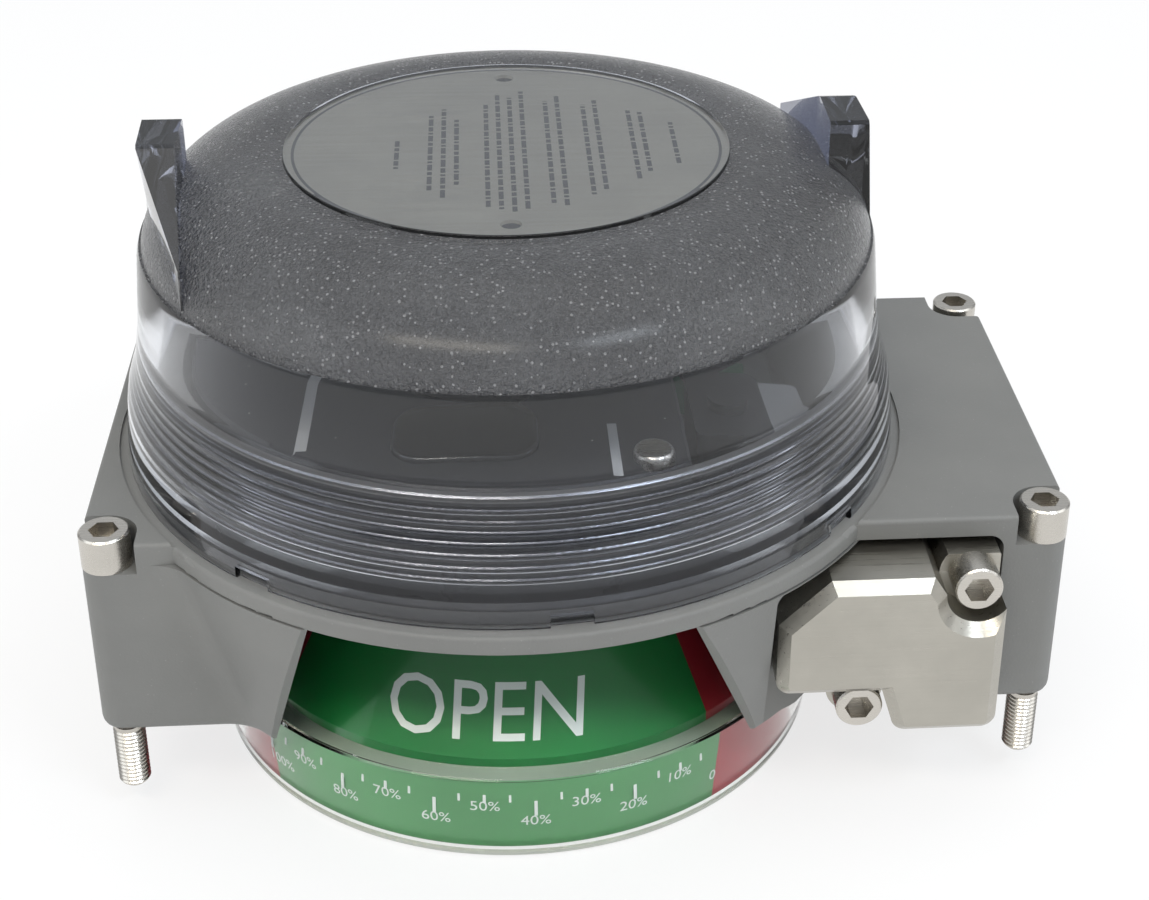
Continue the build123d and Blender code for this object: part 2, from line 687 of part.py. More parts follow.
def make_clip():
    """Open retaining ring."""
    clip = clip_height()
    ring = tube(
        SHAFT_RADIUS + CLIP_WIDTH - 1, SHAFT_RADIUS - 1,
        clip, clip + CLIP_THICKNESS,
    )
    gap = block(
        0, SHAFT_RADIUS + CLIP_WIDTH, -2.5, 2.5, clip - 1, clip + 3,
    )
    return ring - gap


def carrier_base():
    """Underside of the magnet carrier."""
    return clip_height() + CLIP_THICKNESS


def make_carrier():
    """Magnet carrier pressed on the shaft's top."""
    base = carrier_base()
    body = tube(CARRIER_RADIUS, SHAFT_RADIUS, base, SHAFT_TOP - 0.6)
    top = body.edges().filter_by(GeomType.CIRCLE).group_by(Axis.Z)[-1]
    body = chamfer(top.sort_by(SortBy.LENGTH)[-1], 0.8)
    for side in (-1, 1):
        body -= rod(
            MAGNET_RADIUS, SHAFT_TOP - 0.6 - MAGNET_HEIGHT, SHAFT_TOP,
            (0, side * MAGNET_OFFSET),
        )
    return body


def make_magnets():
    """Two disc magnets set in the carrier."""
    top = SHAFT_TOP - 0.6
    return [
        rod(MAGNET_RADIUS, top - MAGNET_HEIGHT, top,
            (0, side * MAGNET_OFFSET))
        for side in (-1, 1)
    ]


# -------------------------------------------------------- indicator drum
def make_lens():
    """Clear shell over the drum: cone, step and skirt."""
    slope = (DRUM_STEP_RADIUS - DRUM_TOP_RADIUS) / DRUM_TOP
    skew = LENS_WALL * (1 + slope * slope) ** 0.5
    return turned([
        (DRUM_TOP_RADIUS - LENS_WALL, DRUM_TOP),
        (DRUM_TOP_RADIUS, DRUM_TOP),
        (DRUM_STEP_RADIUS, 0),
        (DRUM_RIM_RADIUS, -0.4),
        (DRUM_RIM_RADIUS, -DRUM_STEP_THICKNESS),
        (DRUM_FOOT_RADIUS, DRUM_FOOT),
        (DRUM_FOOT_RADIUS - LENS_WALL, DRUM_FOOT),
        (DRUM_RIM_RADIUS - LENS_WALL, -DRUM_STEP_THICKNESS),
        (DRUM_STEP_RADIUS - skew + 0.6, -DRUM_STEP_THICKNESS),
        (DRUM_STEP_RADIUS - skew, 0),
        (DRUM_TOP_RADIUS - skew, DRUM_TOP - 0.001),
    ])


def make_drum():
    """Two-colour drum: web, cone and skirt, stiffened by ribs."""
    slope = (DRUM_STEP_RADIUS - DRUM_TOP_RADIUS) / DRUM_TOP
    skew = LENS_WALL * (1 + slope * slope) ** 0.5 + LENS_GAP
    thick = DRUM_WALL * (1 + slope * slope) ** 0.5
    top_out = DRUM_TOP_RADIUS - skew
    foot_out = DRUM_STEP_RADIUS - skew
    skirt_gap = LENS_WALL + LENS_GAP
    skirt_top = -DRUM_STEP_THICKNESS - LENS_GAP
    web = DRUM_TOP - DRUM_WEB_THICKNESS
    knee = top_out + slope * DRUM_WEB_THICKNESS
    body = turned([
        (SHAFT_RADIUS, DRUM_TOP),
        (top_out, DRUM_TOP),
        (foot_out, 0),
        (foot_out, skirt_top),
        (DRUM_RIM_RADIUS - skirt_gap, skirt_top),
        (DRUM_FOOT_RADIUS - skirt_gap, DRUM_FOOT + 1),
        (DRUM_FOOT_RADIUS - skirt_gap - DRUM_WALL, DRUM_FOOT + 1),
        (foot_out - thick, skirt_top - DRUM_WALL),
        (foot_out - thick, 0),
        (knee - thick, web),
        (SHAFT_RADIUS, web),
    ])
    rib = block(
        COUPLER_NECK_RADIUS + 1, foot_out,
        -DRUM_RIB_WIDTH / 2, DRUM_RIB_WIDTH / 2,
        web - DRUM_RIB_DEPTH, DRUM_TOP - 0.5,
    )
    inside = turned([
        (0, web - DRUM_RIB_DEPTH - 1),
        (foot_out, web - DRUM_RIB_DEPTH - 1),
        (foot_out, 0),
        (top_out, DRUM_TOP),
        (0, DRUM_TOP),
    ])
    rib = rib & inside
    for i in range(DRUM_RIB_COUNT):
        body += Rot(0, 0, i * 360 / DRUM_RIB_COUNT) * rib
    return body


def make_coupler():
    """Drive coupler: neck, hub and the tongue for the actuator slot."""
    top = DRUM_TOP - DRUM_WEB_THICKNESS
    body = rod(COUPLER_RADIUS, COUPLER_FOOT, COUPLER_SHOULDER)
    body = chamfer(body.edges().filter_by(GeomType.CIRCLE), 1.0)
    body += rod(COUPLER_NECK_RADIUS, COUPLER_SHOULDER - 1, top)
    half = TONGUE_LENGTH / 2
    body += block(
        -half, half, -TONGUE_WIDTH / 2, TONGUE_WIDTH / 2,
        COUPLER_FOOT - TONGUE_HEIGHT, COUPLER_FOOT + 1,
    )
    body -= rod(SHAFT_RADIUS, STUB_END, top + 1)
    seat = COUPLER_SEAT
    play = COUPLER_SCREW_PLAY
    body -= rod(COUPLER_SCREW_RADIUS + play, seat - 1, STUB_END + 1)
    body -= rod(
        COUPLER_SCREW_HEAD + play, COUPLER_FOOT - TONGUE_HEIGHT - 1, seat,
    )
    return body


def make_coupler_screw():
    """Central screw that draws the coupler up to the shaft."""
    screw = cap_screw(
        COUPLER_SCREW_RADIUS, COUPLER_SCREW_HEAD, COUPLER_SCREW_HEIGHT,
        COUPLER_SCREW_LENGTH, HEX_RADIUS, COUPLER_SCREW_HEX_DEPTH,
    )
    head = COUPLER_SEAT - COUPLER_SCREW_HEIGHT
    return Pos(0, 0, head) * Rot(180, 0, 0) * screw


# --------------------------------------------------------- sensor module
def module_section(radius, cut, low, high):
    """Round section with a straight side towards +X."""
    side = block(-FAR, cut, -FAR, FAR, low - 1, high + 1)
    return rod(radius, low, high) & side


def window_prism(grow, low, high):
    """Rounded prism of the status window."""
    width = WINDOW_SIZE[0] + 2 * grow
    depth = WINDOW_SIZE[1] + 2 * grow
    face = RectangleRounded(width, depth, WINDOW_CORNER + grow)
    at = Pos(WINDOW_CENTRE[0], WINDOW_CENTRE[1], low)
    return at * extrude(face, high - low)


def make_module():
    """Moulded module body with the shaft pocket and board tray."""
    body = module_section(
        MODULE_RADIUS, MODULE_CUT, MODULE_BASE, PLATE_BOTTOM,
    )
    body -= rod(
        SHAFT_POCKET_RADIUS, MODULE_BASE - 1,
        MODULE_BASE + SHAFT_POCKET_HEIGHT - 1,
    )
    body -= module_section(
        MODULE_RADIUS - 9, MODULE_CUT - 3,
        BOARD_TOP - BOARD_THICKNESS, PLATE_BOTTOM + 1,
    )
    for point in MODULE_SCREWS:
        body -= rod(
            MODULE_SCREW_SHANK + PLUG_PLAY,
            PLATE_TOP - MODULE_SCREW_LENGTH - 0.5, PLATE_TOP, point,
        )
    return body


def make_plate():
    """Dark cover plate of the module with its openings."""
    plate = module_section(PLATE_RADIUS, PLATE_CUT, PLATE_BOTTOM, PLATE_TOP)
    rim = plate.edges().group_by(Axis.Z)[-1]
    plate = chamfer(rim, 0.5)
    for point in MODULE_SCREWS:
        plate -= rod(
            MODULE_SCREW_SHANK + 0.2, PLATE_BOTTOM - 1, PLATE_TOP + 1, point,
        )
    for point in BUTTONS:
        plate -= rod(
            BUTTON_RADIUS + BUTTON_GUIDE_GAP,
            PLATE_BOTTOM - 1, PLATE_TOP + 1, point,
        )
    for point in LAMPS:
        plate -= rod(
            LAMP_RADIUS + 0.1, PLATE_BOTTOM - 1, PLATE_TOP + 1, point,
        )
    plate -= window_prism(0.1, PLATE_TOP - WINDOW_RECESS, PLATE_TOP + 1)
    return plate


def make_window():
    """Tinted status window set in the plate."""
    body = window_prism(
        0, PLATE_TOP - WINDOW_RECESS, PLATE_TOP + WINDOW_PROUD,
    )
    return fillet(body.edges().group_by(Axis.Z)[-1], 0.8)


def make_board():
    """Circuit board in the module's tray."""
    return module_section(
        MODULE_RADIUS - 9.3, MODULE_CUT - 3.3,
        BOARD_TOP - BOARD_THICKNESS, BOARD_TOP,
    )


def make_lamps():
    """Status lamps standing on the board."""
    lamps = []
    for point in LAMPS:
        lamp = rod(LAMP_RADIUS, BOARD_TOP, PLATE_TOP + 0.6, point)
        rim = lamp.edges().filter_by(GeomType.CIRCLE).sort_by(Axis.Z)[-1]
        lamps.append(fillet(rim, 0.7))
    return lamps


def make_button(point):
    """Push button with the flange that keeps it under the plate."""
    travel = BUTTON_TRAVEL + BUTTON_GUIDE_GAP
    low = BOARD_TOP + travel
    button = rod(BUTTON_RADIUS, low, PLATE_TOP + BUTTON_PROUD, point)
    rim = button.edges().filter_by(GeomType.CIRCLE).sort_by(Axis.Z)[-1]
    button = fillet(rim, 0.8)
    top = PLATE_BOTTOM - BUTTON_GUIDE_GAP
    flange = rod(
        BUTTON_RADIUS + BUTTON_FLANGE, top - BUTTON_FLANGE, top, point,
    )
    return button + flange


def make_module_screws():
    """Pan head screws that hold the plate down."""
    screws = []
    for point in MODULE_SCREWS:
        top = PLATE_TOP + MODULE_SCREW_HEAD_HEIGHT
        head = rod(MODULE_SCREW_HEAD, PLATE_TOP, top, point)
        rim = head.edges().filter_by(GeomType.CIRCLE).sort_by(Axis.Z)[-1]
        head = fillet(rim, MODULE_SCREW_HEAD_HEIGHT * 0.6)
        low = PLATE_TOP - MODULE_SCREW_LENGTH
        shank = rod(MODULE_SCREW_SHANK, low, PLATE_TOP, point)
        screws.append(head + shank)
    return screws


# ---------------------------------------------- parts beside the module
def make_solenoid():
    """Pilot solenoid standing on the chamber floor."""
    x, y, width, depth, height = SOLENOID
    body = block(x, x + width, y, y + depth, MODULE_BASE, MODULE_BASE + height)
    body = fillet(body.edges().filter_by(Axis.Z), 2.0)
    top = MODULE_BASE + height
    middle = (x + width / 2, y + depth / 2)
    return body + rod(3.2, top - 1, top + 1.6, middle)


def make_connector():
    """Plug connector of the pilot solenoid."""
    x, y, width, depth, height = CONNECTOR
    body = block(x, x + width, y, y + depth, MODULE_BASE, MODULE_BASE + height)
    body = fillet(body.edges().filter_by(Axis.Z), 1.0)
    return body


def terminal_point(i):
    """Centre of one terminal way, and its pitch."""
    x, y, width, depth, _ = TERMINAL
    pitch = depth / TERMINAL_WAYS
    return x + width * TERMINAL_SCREW_SHARE, y + pitch * (i + 0.5), pitch


def make_terminals():
    """Terminal strip with wire mouths and screw wells."""
    x, y, width, depth, height = TERMINAL
    top = MODULE_BASE + height
    mouth, low, high = TERMINAL_MOUTH
    body = block(x, x + width, y, y + depth, MODULE_BASE, top)
    body = chamfer(body.edges().filter_by(Axis.Y).sort_by(Axis.Z)[-1:], 1.5)
    for i in range(TERMINAL_WAYS):
        sx, sy, pitch = terminal_point(i)
        body -= rod(
            TERMINAL_SCREW_RADIUS + TERMINAL_WELL_PLAY,
            top - TERMINAL_WELL_DEPTH, top + 1, (sx, sy),
        )
        half = pitch * TERMINAL_MOUTH_SHARE / 2
        body -= block(
            x + width - mouth, x + width + 1, sy - half, sy + half,
            MODULE_BASE + low, MODULE_BASE + high,
        )
    return body


def make_terminal_screws():
    """Clamp screws in the terminal strip's wells."""
    top = MODULE_BASE + TERMINAL[4]
    screws = []
    for i in range(TERMINAL_WAYS):
        sx, sy, _ = terminal_point(i)
        screws.append(
            rod(
                TERMINAL_SCREW_RADIUS, top - TERMINAL_WELL_DEPTH,
                top - TERMINAL_SCREW_SUNK, (sx, sy),
            )
        )
    return screws


def make_ground_screw():
    """Earth screw in the chamber floor."""
    head = rod(
        GROUND_SCREW_RADIUS, CHAMBER_FLOOR,
        CHAMBER_FLOOR + GROUND_SCREW_HEIGHT, GROUND_SCREW_AT,
    )
    rim = head.edges().filter_by(GeomType.CIRCLE).sort_by(Axis.Z)[-1]
    head = fillet(rim, 1.0)
    shank = rod(
        MODULE_SCREW_SHANK, CHAMBER_FLOOR - GROUND_SCREW_REACH,
        CHAMBER_FLOOR, GROUND_SCREW_AT,
    )
    return head + shank


# ------------------------------------------------- pneumatic valve block
def block_outline():
    """Front outline of the valve block, with the scallop at its corner."""
    x, z, _ = BLOCK_SCREWS[0]
    r = SCALLOP_RADIUS
    mouth_z = z - (r * r - (BLOCK_RIGHT - x) ** 2) ** 0.5
    outline = Polyline(
        (x - r - SCALLOP_LEAN, 0, BLOCK_TOP),
        (BLOCK_LEFT + BLOCK_BEVEL, 0, BLOCK_TOP),
        (BLOCK_LEFT, 0, BLOCK_TOP - BLOCK_BEVEL),
        (BLOCK_LEFT, 0, BLOCK_LOW),
        (BLOCK_STEP, 0, BLOCK_LOW),
        (BLOCK_STEP + BLOCK_STEP_RUN, 0, BLOCK_FOOT),
        (BLOCK_RIGHT, 0, BLOCK_FOOT),
        (BLOCK_RIGHT, 0, mouth_z),
    )
    turn = radians(225)
    scallop = ThreePointArc(
        (BLOCK_RIGHT, 0, mouth_z),
        (x + r * cos(turn), 0, z + r * sin(turn)),
        (x - r, 0, z),
    )
    lean = Line((x - r, 0, z), (x - r - SCALLOP_LEAN, 0, BLOCK_TOP))
    return outline + scallop + lean


def make_block():
    """Nickel-plated valve block, bevelled and scalloped for its screw."""
    face = Pos(0, BLOCK_FRONT, 0) * make_face(block_outline())
    body = extrude(face, BLOCK_BACK - BLOCK_FRONT, dir=(0, 1, 0))
    runs = body.edges().filter_by(Axis.Y)
    runs = [e for e in runs if e.center().Z < BLOCK_LOW + 1]
    inner = min(runs, key=lambda e: abs(e.center().X - BLOCK_STEP))
    outer = [e for e in runs if e is not inner]
    body = fillet(outer, BLOCK_CORNER)
    body = chamfer(body.faces().sort_by(Axis.Y)[0].edges(), BLOCK_EDGE)
    x, z, head_front = BLOCK_SCREWS[0]
    seat = head_front + BLOCK_SCREW_HEAD
    body += rod_y(SCALLOP_RADIUS, seat, BLOCK_BACK, x, z) & block(
        0, BLOCK_RIGHT, seat, BLOCK_BACK, 0, BLOCK_TOP,
    )
    ear_x, ear_z, ear_front = BLOCK_SCREWS[1]
    ear_front += BLOCK_SCREW_HEAD
    body += rod_y(BLOCK_EAR_RADIUS, ear_front, BLOCK_BACK, ear_x, ear_z)
    body += block(
        ear_x - BLOCK_EAR_RADIUS, ear_x + BLOCK_EAR_RADIUS,
        ear_front, BLOCK_BACK, ear_z, BLOCK_LOW + 1,
    )
    body -= rod(BLOCK_FENCE, -FAR, FAR)
    for (sx, sz, sf) in BLOCK_SCREWS:
        body -= rod_y(SCREW_RADIUS + PLUG_PLAY, sf, 0, sx, sz)
    sy, sz = SPOOL_AT
    body -= rod_x(SPOOL_RADIUS, SPOOL_BORE_END, FAR, sy, sz)
    return body


def make_gasket():
    """Flat gasket behind the valve block."""
    low = BLOCK_FOOT + 2
    sheet = block(
        BLOCK_FENCE, BLOCK_RIGHT - 1, BLOCK_BACK,
        BLOCK_BACK + GASKET_THICKNESS, low, BLOCK_TOP - 1,
    )
    x, z, front = BLOCK_SCREWS[0]
    sheet -= rod_y(SCREW_RADIUS + 0.2, front, 0, x, z)
    return sheet


def make_block_screws():
    """The two socket head screws of the valve block."""
    screws = []
    for (x, z, front), end in zip(BLOCK_SCREWS, BLOCK_SCREW_END):
        screw = cap_screw(
            SCREW_RADIUS, HEAD_RADIUS - 0.2, BLOCK_SCREW_HEAD,
            end - front, HEX_RADIUS, HEX_DEPTH,
        )
        screws.append(Pos(x, front, z) * Rot(90, 0, 0) * screw)
    return screws


def make_spool():
    """Valve spool with three lands."""
    y, z = SPOOL_AT
    radius = SPOOL_RADIUS - RUNNING_CLEARANCE
    start = SPOOL_BORE_END + SPOOL_END_PLAY
    end = SPOOL_PLUG_FACE - SPOOL_TRAVEL - SPOOL_END_PLAY
    spool = rod_x(radius, start, end, y, z)
    pitch = (end - start - SPOOL_LAND) / 2
    for i in range(2):
        x = start + SPOOL_LAND + i * pitch
        cut = rod_x(radius + 1, x, x + pitch - SPOOL_LAND, y, z)
        cut -= rod_x(radius - SPOOL_GROOVE, x - 1, x + pitch, y, z)
        spool -= cut
    return spool


def make_spool_plug():
    """Threaded plug that closes the spool bore."""
    y, z = SPOOL_AT
    end = SPOOL_PLUG_FACE + SPOOL_PLUG
    plug = rod_x(SPOOL_RADIUS - 0.02, SPOOL_PLUG_FACE, end, y, z)
    slot = block(
        end - 1, end + 1, y - SPOOL_RADIUS, y + SPOOL_RADIUS,
        z - 0.5, z + 0.5,
    )
    return plug - slot


# ------------------------------------------------------- screws and plugs
def make_mounting_screws():
    """Four captive screws with a slim shank inside the leg pads."""
    length = HEAD_TOP + STUD_LENGTH
    waist = tube(
        SCREW_HOLE_RADIUS, SCREW_WAIST_RADIUS,
        SCREW_THREAD_START - HEAD_TOP, -HEAD_HEIGHT,
    )
    screws = []
    for x, y in MOUNT_POINTS:
        screw = cap_screw(
            SCREW_RADIUS, HEAD_RADIUS, HEAD_HEIGHT, length,
            HEX_RADIUS, HEX_DEPTH,
        )
        screws.append(Pos(x, y, HEAD_TOP) * (screw - waist))
    return screws


def make_conduit_plug():
    """Flush blanking plug in the rear conduit entry."""
    end = SIDE_REAR - 0.5
    plug = rod_y(
        CONDUIT_RADIUS - PLUG_PLAY, end - PLUG_LENGTH, end,
        REAR_CONDUIT_X, CONDUIT_HEIGHT,
    )
    rim = plug.edges().filter_by(GeomType.CIRCLE).sort_by(Axis.Y)[-1]
    plug = chamfer(rim, 0.8)
    socket = extrude(RegularPolygon(PLUG_HEX, 6), PLUG_LENGTH)
    socket = Pos(REAR_CONDUIT_X, end + 1, CONDUIT_HEIGHT) * (
        Rot(90, 0, 0) * socket
    )
    return plug - socket


# ---------------------------------------------------------------- export
def whole(shape):
    """One exportable shape from a solid or a list of solids."""
    if isinstance(shape, list):
        return Compound(children=[Compound(s.solids()) for s in shape])
    return shape


NODES = {
    "housing": make_housing(),
    "cover": make_cover(),
    "nameplate_disc": make_nameplate(),
    "cover_o_ring": ring_of(
        O_RING_SECTION, O_RING_RADIUS,
        FLANGE_TOP + COVER_GAP / 2 + O_RING_SECTION / 2,
    ),
    "shaft": make_shaft(),
    "upper_bushing": make_bushing(BOSS_TOP, True),
    "lower_bushing": make_bushing(CAVITY_TOP, False),
    "shaft_seal": ring_of(
        SEAL_SECTION, SEAL_RADIUS, seal_height(),
    ),
    "retaining_clip": make_clip(),
    "magnet_carrier": make_carrier(),
    "carrier_magnets": make_magnets(),
    "indicator_drum": make_drum(),
    "indicator_lens": make_lens(),
    "drive_coupler": make_coupler(),
    "coupler_screw": make_coupler_screw(),
    "module_body": make_module(),
    "module_plate": make_plate(),
    "module_screws": make_module_screws(),
    "circuit_board": make_board(),
    "status_window": make_window(),
    "status_lamps": make_lamps(),
    "set_open_button": make_button(BUTTONS[0]),
    "set_closed_button": make_button(BUTTONS[1]),
    "pilot_solenoid": make_solenoid(),
    "pilot_connector": make_connector(),
    "terminal_strip": make_terminals(),
    "terminal_screws": make_terminal_screws(),
    "ground_screw": make_ground_screw(),
    "valve_block": make_block(),
    "valve_block_gasket": make_gasket(),
    "valve_block_screws": make_block_screws(),
    "valve_spool": make_spool(),
    "spool_plug": make_spool_plug(),
    "mounting_screws": make_mounting_screws(),
    "conduit_plug": make_conduit_plug(),
}

os.makedirs("parts", exist_ok=True)
for name, shape in NODES.items():
    export_step(whole(shape), f"parts/{name}.step")
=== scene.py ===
from math import cos, hypot, pi, radians, sin

import bmesh
import bpy
from mathutils import Matrix, Vector


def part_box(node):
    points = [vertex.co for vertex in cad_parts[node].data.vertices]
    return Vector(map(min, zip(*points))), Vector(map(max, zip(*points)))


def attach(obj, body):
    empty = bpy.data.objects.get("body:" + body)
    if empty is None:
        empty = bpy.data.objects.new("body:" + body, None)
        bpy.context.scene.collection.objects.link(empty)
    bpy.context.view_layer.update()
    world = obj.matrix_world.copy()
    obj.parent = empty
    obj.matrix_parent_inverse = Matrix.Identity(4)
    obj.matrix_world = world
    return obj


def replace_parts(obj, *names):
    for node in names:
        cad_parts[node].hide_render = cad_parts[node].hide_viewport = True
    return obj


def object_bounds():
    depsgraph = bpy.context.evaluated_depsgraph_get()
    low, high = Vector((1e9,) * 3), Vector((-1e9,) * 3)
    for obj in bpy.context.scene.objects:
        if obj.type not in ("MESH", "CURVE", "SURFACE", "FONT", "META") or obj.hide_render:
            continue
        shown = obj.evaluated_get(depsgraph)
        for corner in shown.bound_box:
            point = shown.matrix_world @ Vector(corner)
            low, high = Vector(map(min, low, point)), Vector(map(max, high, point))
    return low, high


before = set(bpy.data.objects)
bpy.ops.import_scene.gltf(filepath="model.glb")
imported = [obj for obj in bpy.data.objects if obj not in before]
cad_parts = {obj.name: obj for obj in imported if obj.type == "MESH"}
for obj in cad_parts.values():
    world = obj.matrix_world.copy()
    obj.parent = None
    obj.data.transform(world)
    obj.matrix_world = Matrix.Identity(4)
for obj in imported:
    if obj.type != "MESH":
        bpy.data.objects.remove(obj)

CAD_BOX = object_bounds()
MM = 0.001


def low(node):
    """Lowest corner of a node, in millimetres."""
    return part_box(node)[0] / MM


def high(node):
    """Highest corner of a node, in millimetres."""
    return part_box(node)[1] / MM


# ------------------------------------------------------------ shader tools
def add(tree, kind, place=(0, 0), values=None, **settings):
    """A new node with its settings and plain input values."""
    made = tree.nodes.new(kind)
    made.location = place
    for key, value in settings.items():
        setattr(made, key, value)
    for key, value in (values or {}).items():
        made.inputs[key].default_value = value
    return made


def join(tree, source, target):
    """Link from an output to an input."""
    tree.links.new(source, target)


def new_group(name, inputs, outputs):
    """Node group with float inputs and given outputs."""
    tree = bpy.data.node_groups.new(name, "ShaderNodeTree")
    for label, value in inputs:
        kind = "NodeSocketColor" if isinstance(value, tuple) else "NodeSocketFloat"
        made = tree.interface.new_socket(label, in_out="INPUT", socket_type=kind)
        made.default_value = value
    for label, kind in outputs:
        tree.interface.new_socket(label, in_out="OUTPUT", socket_type=kind)
    enter = add(tree, "NodeGroupInput", (-900, 0))
    leave = add(tree, "NodeGroupOutput", (700, 0))
    return tree, enter, leave


def object_noise(tree, scale, place, detail, rough=0.6, stretch=None):
    """Noise on object coordinates, its scale in features per metre."""
    where = add(tree, "ShaderNodeTexCoord", (place[0] - 400, place[1]))
    source = where.outputs["Object"]
    if stretch:
        turn = add(tree, "ShaderNodeMapping", (place[0] - 200, place[1]),
                   {"Scale": stretch})
        join(tree, source, turn.inputs["Vector"])
        source = turn.outputs["Vector"]
    noise = add(tree, "ShaderNodeTexNoise", place,
                {"Detail": detail, "Roughness": rough})
    join(tree, source, noise.inputs["Vector"])
    join(tree, scale, noise.inputs["Scale"])
    return noise


def spread(tree, source, start, end, place):
    """Remaps a mask so that start becomes 0 and end becomes 1."""
    ramp = add(tree, "ShaderNodeMapRange", place,
               {"From Min": start, "From Max": end})
    join(tree, source, ramp.inputs["Value"])
    return ramp.outputs["Result"]


def build_grain():
    """Fine surface grain: a height and a slow tone change."""
    tree, enter, leave = new_group(
        "fine grain", [("Grain Scale", 2500.0), ("Patch Scale", 40.0)],
        [("Height", "NodeSocketFloat"), ("Patches", "NodeSocketFloat")])
    fine = object_noise(tree, enter.outputs["Grain Scale"], (-200, 150), 2.0, 0.5)
    slow = object_noise(tree, enter.outputs["Patch Scale"], (-200, -150), 4.0)
    join(tree, fine.outputs["Fac"], leave.inputs["Height"])
    join(tree, spread(tree, slow.outputs["Fac"], 0.3, 0.7, (100, -150)),
         leave.inputs["Patches"])
    return tree


EMPTY_CELLS = 0.72      # share of the cells that hold no speck


def build_specks():
    """Sparse round specks, such as dust or mica in a coating; on the frosted dome they are
    painted glints.
    """
    tree, enter, leave = new_group(
        "sparse specks", [("Scale", 900.0), ("Size", 0.12)],
        [("Mask", "NodeSocketFloat")])
    where = add(tree, "ShaderNodeTexCoord", (-700, 0))
    cells = add(tree, "ShaderNodeTexVoronoi", (-400, 0), {"Randomness": 1.0})
    join(tree, where.outputs["Object"], cells.inputs["Vector"])
    join(tree, enter.outputs["Scale"], cells.inputs["Scale"])
    near = add(tree, "ShaderNodeMath", (-150, 60), operation="LESS_THAN")
    join(tree, cells.outputs["Distance"], near.inputs[0])
    join(tree, enter.outputs["Size"], near.inputs[1])
    parts = add(tree, "ShaderNodeSeparateColor", (-150, -120))
    join(tree, cells.outputs["Color"], parts.inputs["Color"])
    few = add(tree, "ShaderNodeMath", (50, -120), {1: EMPTY_CELLS},
              operation="GREATER_THAN")
    join(tree, parts.outputs["Red"], few.inputs[0])
    both = add(tree, "ShaderNodeMath", (250, 0), operation="MULTIPLY")
    join(tree, near.outputs[0], both.inputs[0])
    join(tree, few.outputs[0], both.inputs[1])
    join(tree, both.outputs[0], leave.inputs["Mask"])
    return tree


def build_drawn_lines():
    """Long thin marks from machining or handling, along X."""
    tree, enter, leave = new_group(
        "drawn lines", [("Scale", 60.0)],
        [("Height", "NodeSocketFloat"), ("Mask", "NodeSocketFloat")])
    noise = object_noise(tree, enter.outputs["Scale"], (-200, 0), 3.0, 0.7,
                         stretch=(1.0, 60.0, 60.0))
    join(tree, noise.outputs["Fac"], leave.inputs["Height"])
    join(tree, spread(tree, noise.outputs["Fac"], 0.35, 0.65, (100, -150)),
         leave.inputs["Mask"])
    return tree


GRAIN = build_grain()
SPECKS = build_specks()
DRAWN = build_drawn_lines()


def base_material(name, **values):
    """Material with a Principled shader and its plain values."""
    material = bpy.data.materials.new(name)
    material.use_nodes = True
    tree = material.node_tree
    shader = tree.nodes["Principled BSDF"]
    for key, value in values.items():
        label = key.replace("_", " ")
        if isinstance(value, tuple) and len(value) == 3:
            value = (*value, 1.0)
        shader.inputs[label].default_value = value
    return material, tree, shader


def group_node(tree, group, place, **values):
    """A shared effect with this material's own values."""
    made = add(tree, "ShaderNodeGroup", place)
    made.node_tree = group
    for key, value in values.items():
        made.inputs[key.replace("_", " ")].default_value = value
    return made


def bump(tree, shader, height, strength, distance):
    """Feeds a height into the shader's normal."""
    made = add(tree, "ShaderNodeBump", (-250, -400),
               {"Strength": strength, "Distance": distance})
    join(tree, height, made.inputs["Height"])
    join(tree, made.outputs["Normal"], shader.inputs["Normal"])


def vary_roughness(tree, shader, mask, least, most):
    """Lets a mask move the roughness between two values."""
    rough = add(tree, "ShaderNodeMapRange", (-350, -100),
                {"To Min": least, "To Max": most})
    join(tree, mask, rough.inputs["Value"])
    join(tree, rough.outputs["Result"], shader.inputs["Roughness"])


def blend_colours(tree, factor, first, second, place):
    """Mixes two colours, each one plain or from another node."""
    mix = add(tree, "ShaderNodeMix", place, data_type="RGBA")
    for label, colour in (("A", first), ("B", second)):
        if isinstance(colour, tuple):
            mix.inputs[label].default_value = (*colour, 1.0)
        else:
            join(tree, colour, mix.inputs[label])
    join(tree, factor, mix.inputs["Factor"])
    return mix.outputs["Result"]


def speckled(tree, tone, scale, size, colour):
    """Sparse specks of one colour over a tone."""
    specks = group_node(tree, SPECKS, (-900, 300), Scale=scale, Size=size)
    return blend_colours(tree, specks.outputs["Mask"], tone, colour,
                         (-350, 200))


def powder_coat():
    """Grey baked coating of the cast housing."""
    material, tree, shader = base_material(
        "grey powder coat", Base_Color=(0.19, 0.19, 0.183), Roughness=0.46,
        Specular_IOR_Level=0.45)
    grain = group_node(tree, GRAIN, (-900, 0), Grain_Scale=2200.0,
                       Patch_Scale=28.0)
    tone = blend_colours(tree, grain.outputs["Patches"],
                         (0.17, 0.171, 0.165), (0.205, 0.205, 0.197),
                         (-600, 100))
    tone = speckled(tree, tone, 1100.0, 0.10, (0.26, 0.26, 0.25))
    join(tree, tone, shader.inputs["Base Color"])
    vary_roughness(tree, shader, grain.outputs["Patches"], 0.42, 0.56)
    bump(tree, shader, grain.outputs["Height"], 0.35, 0.00012)
    return material


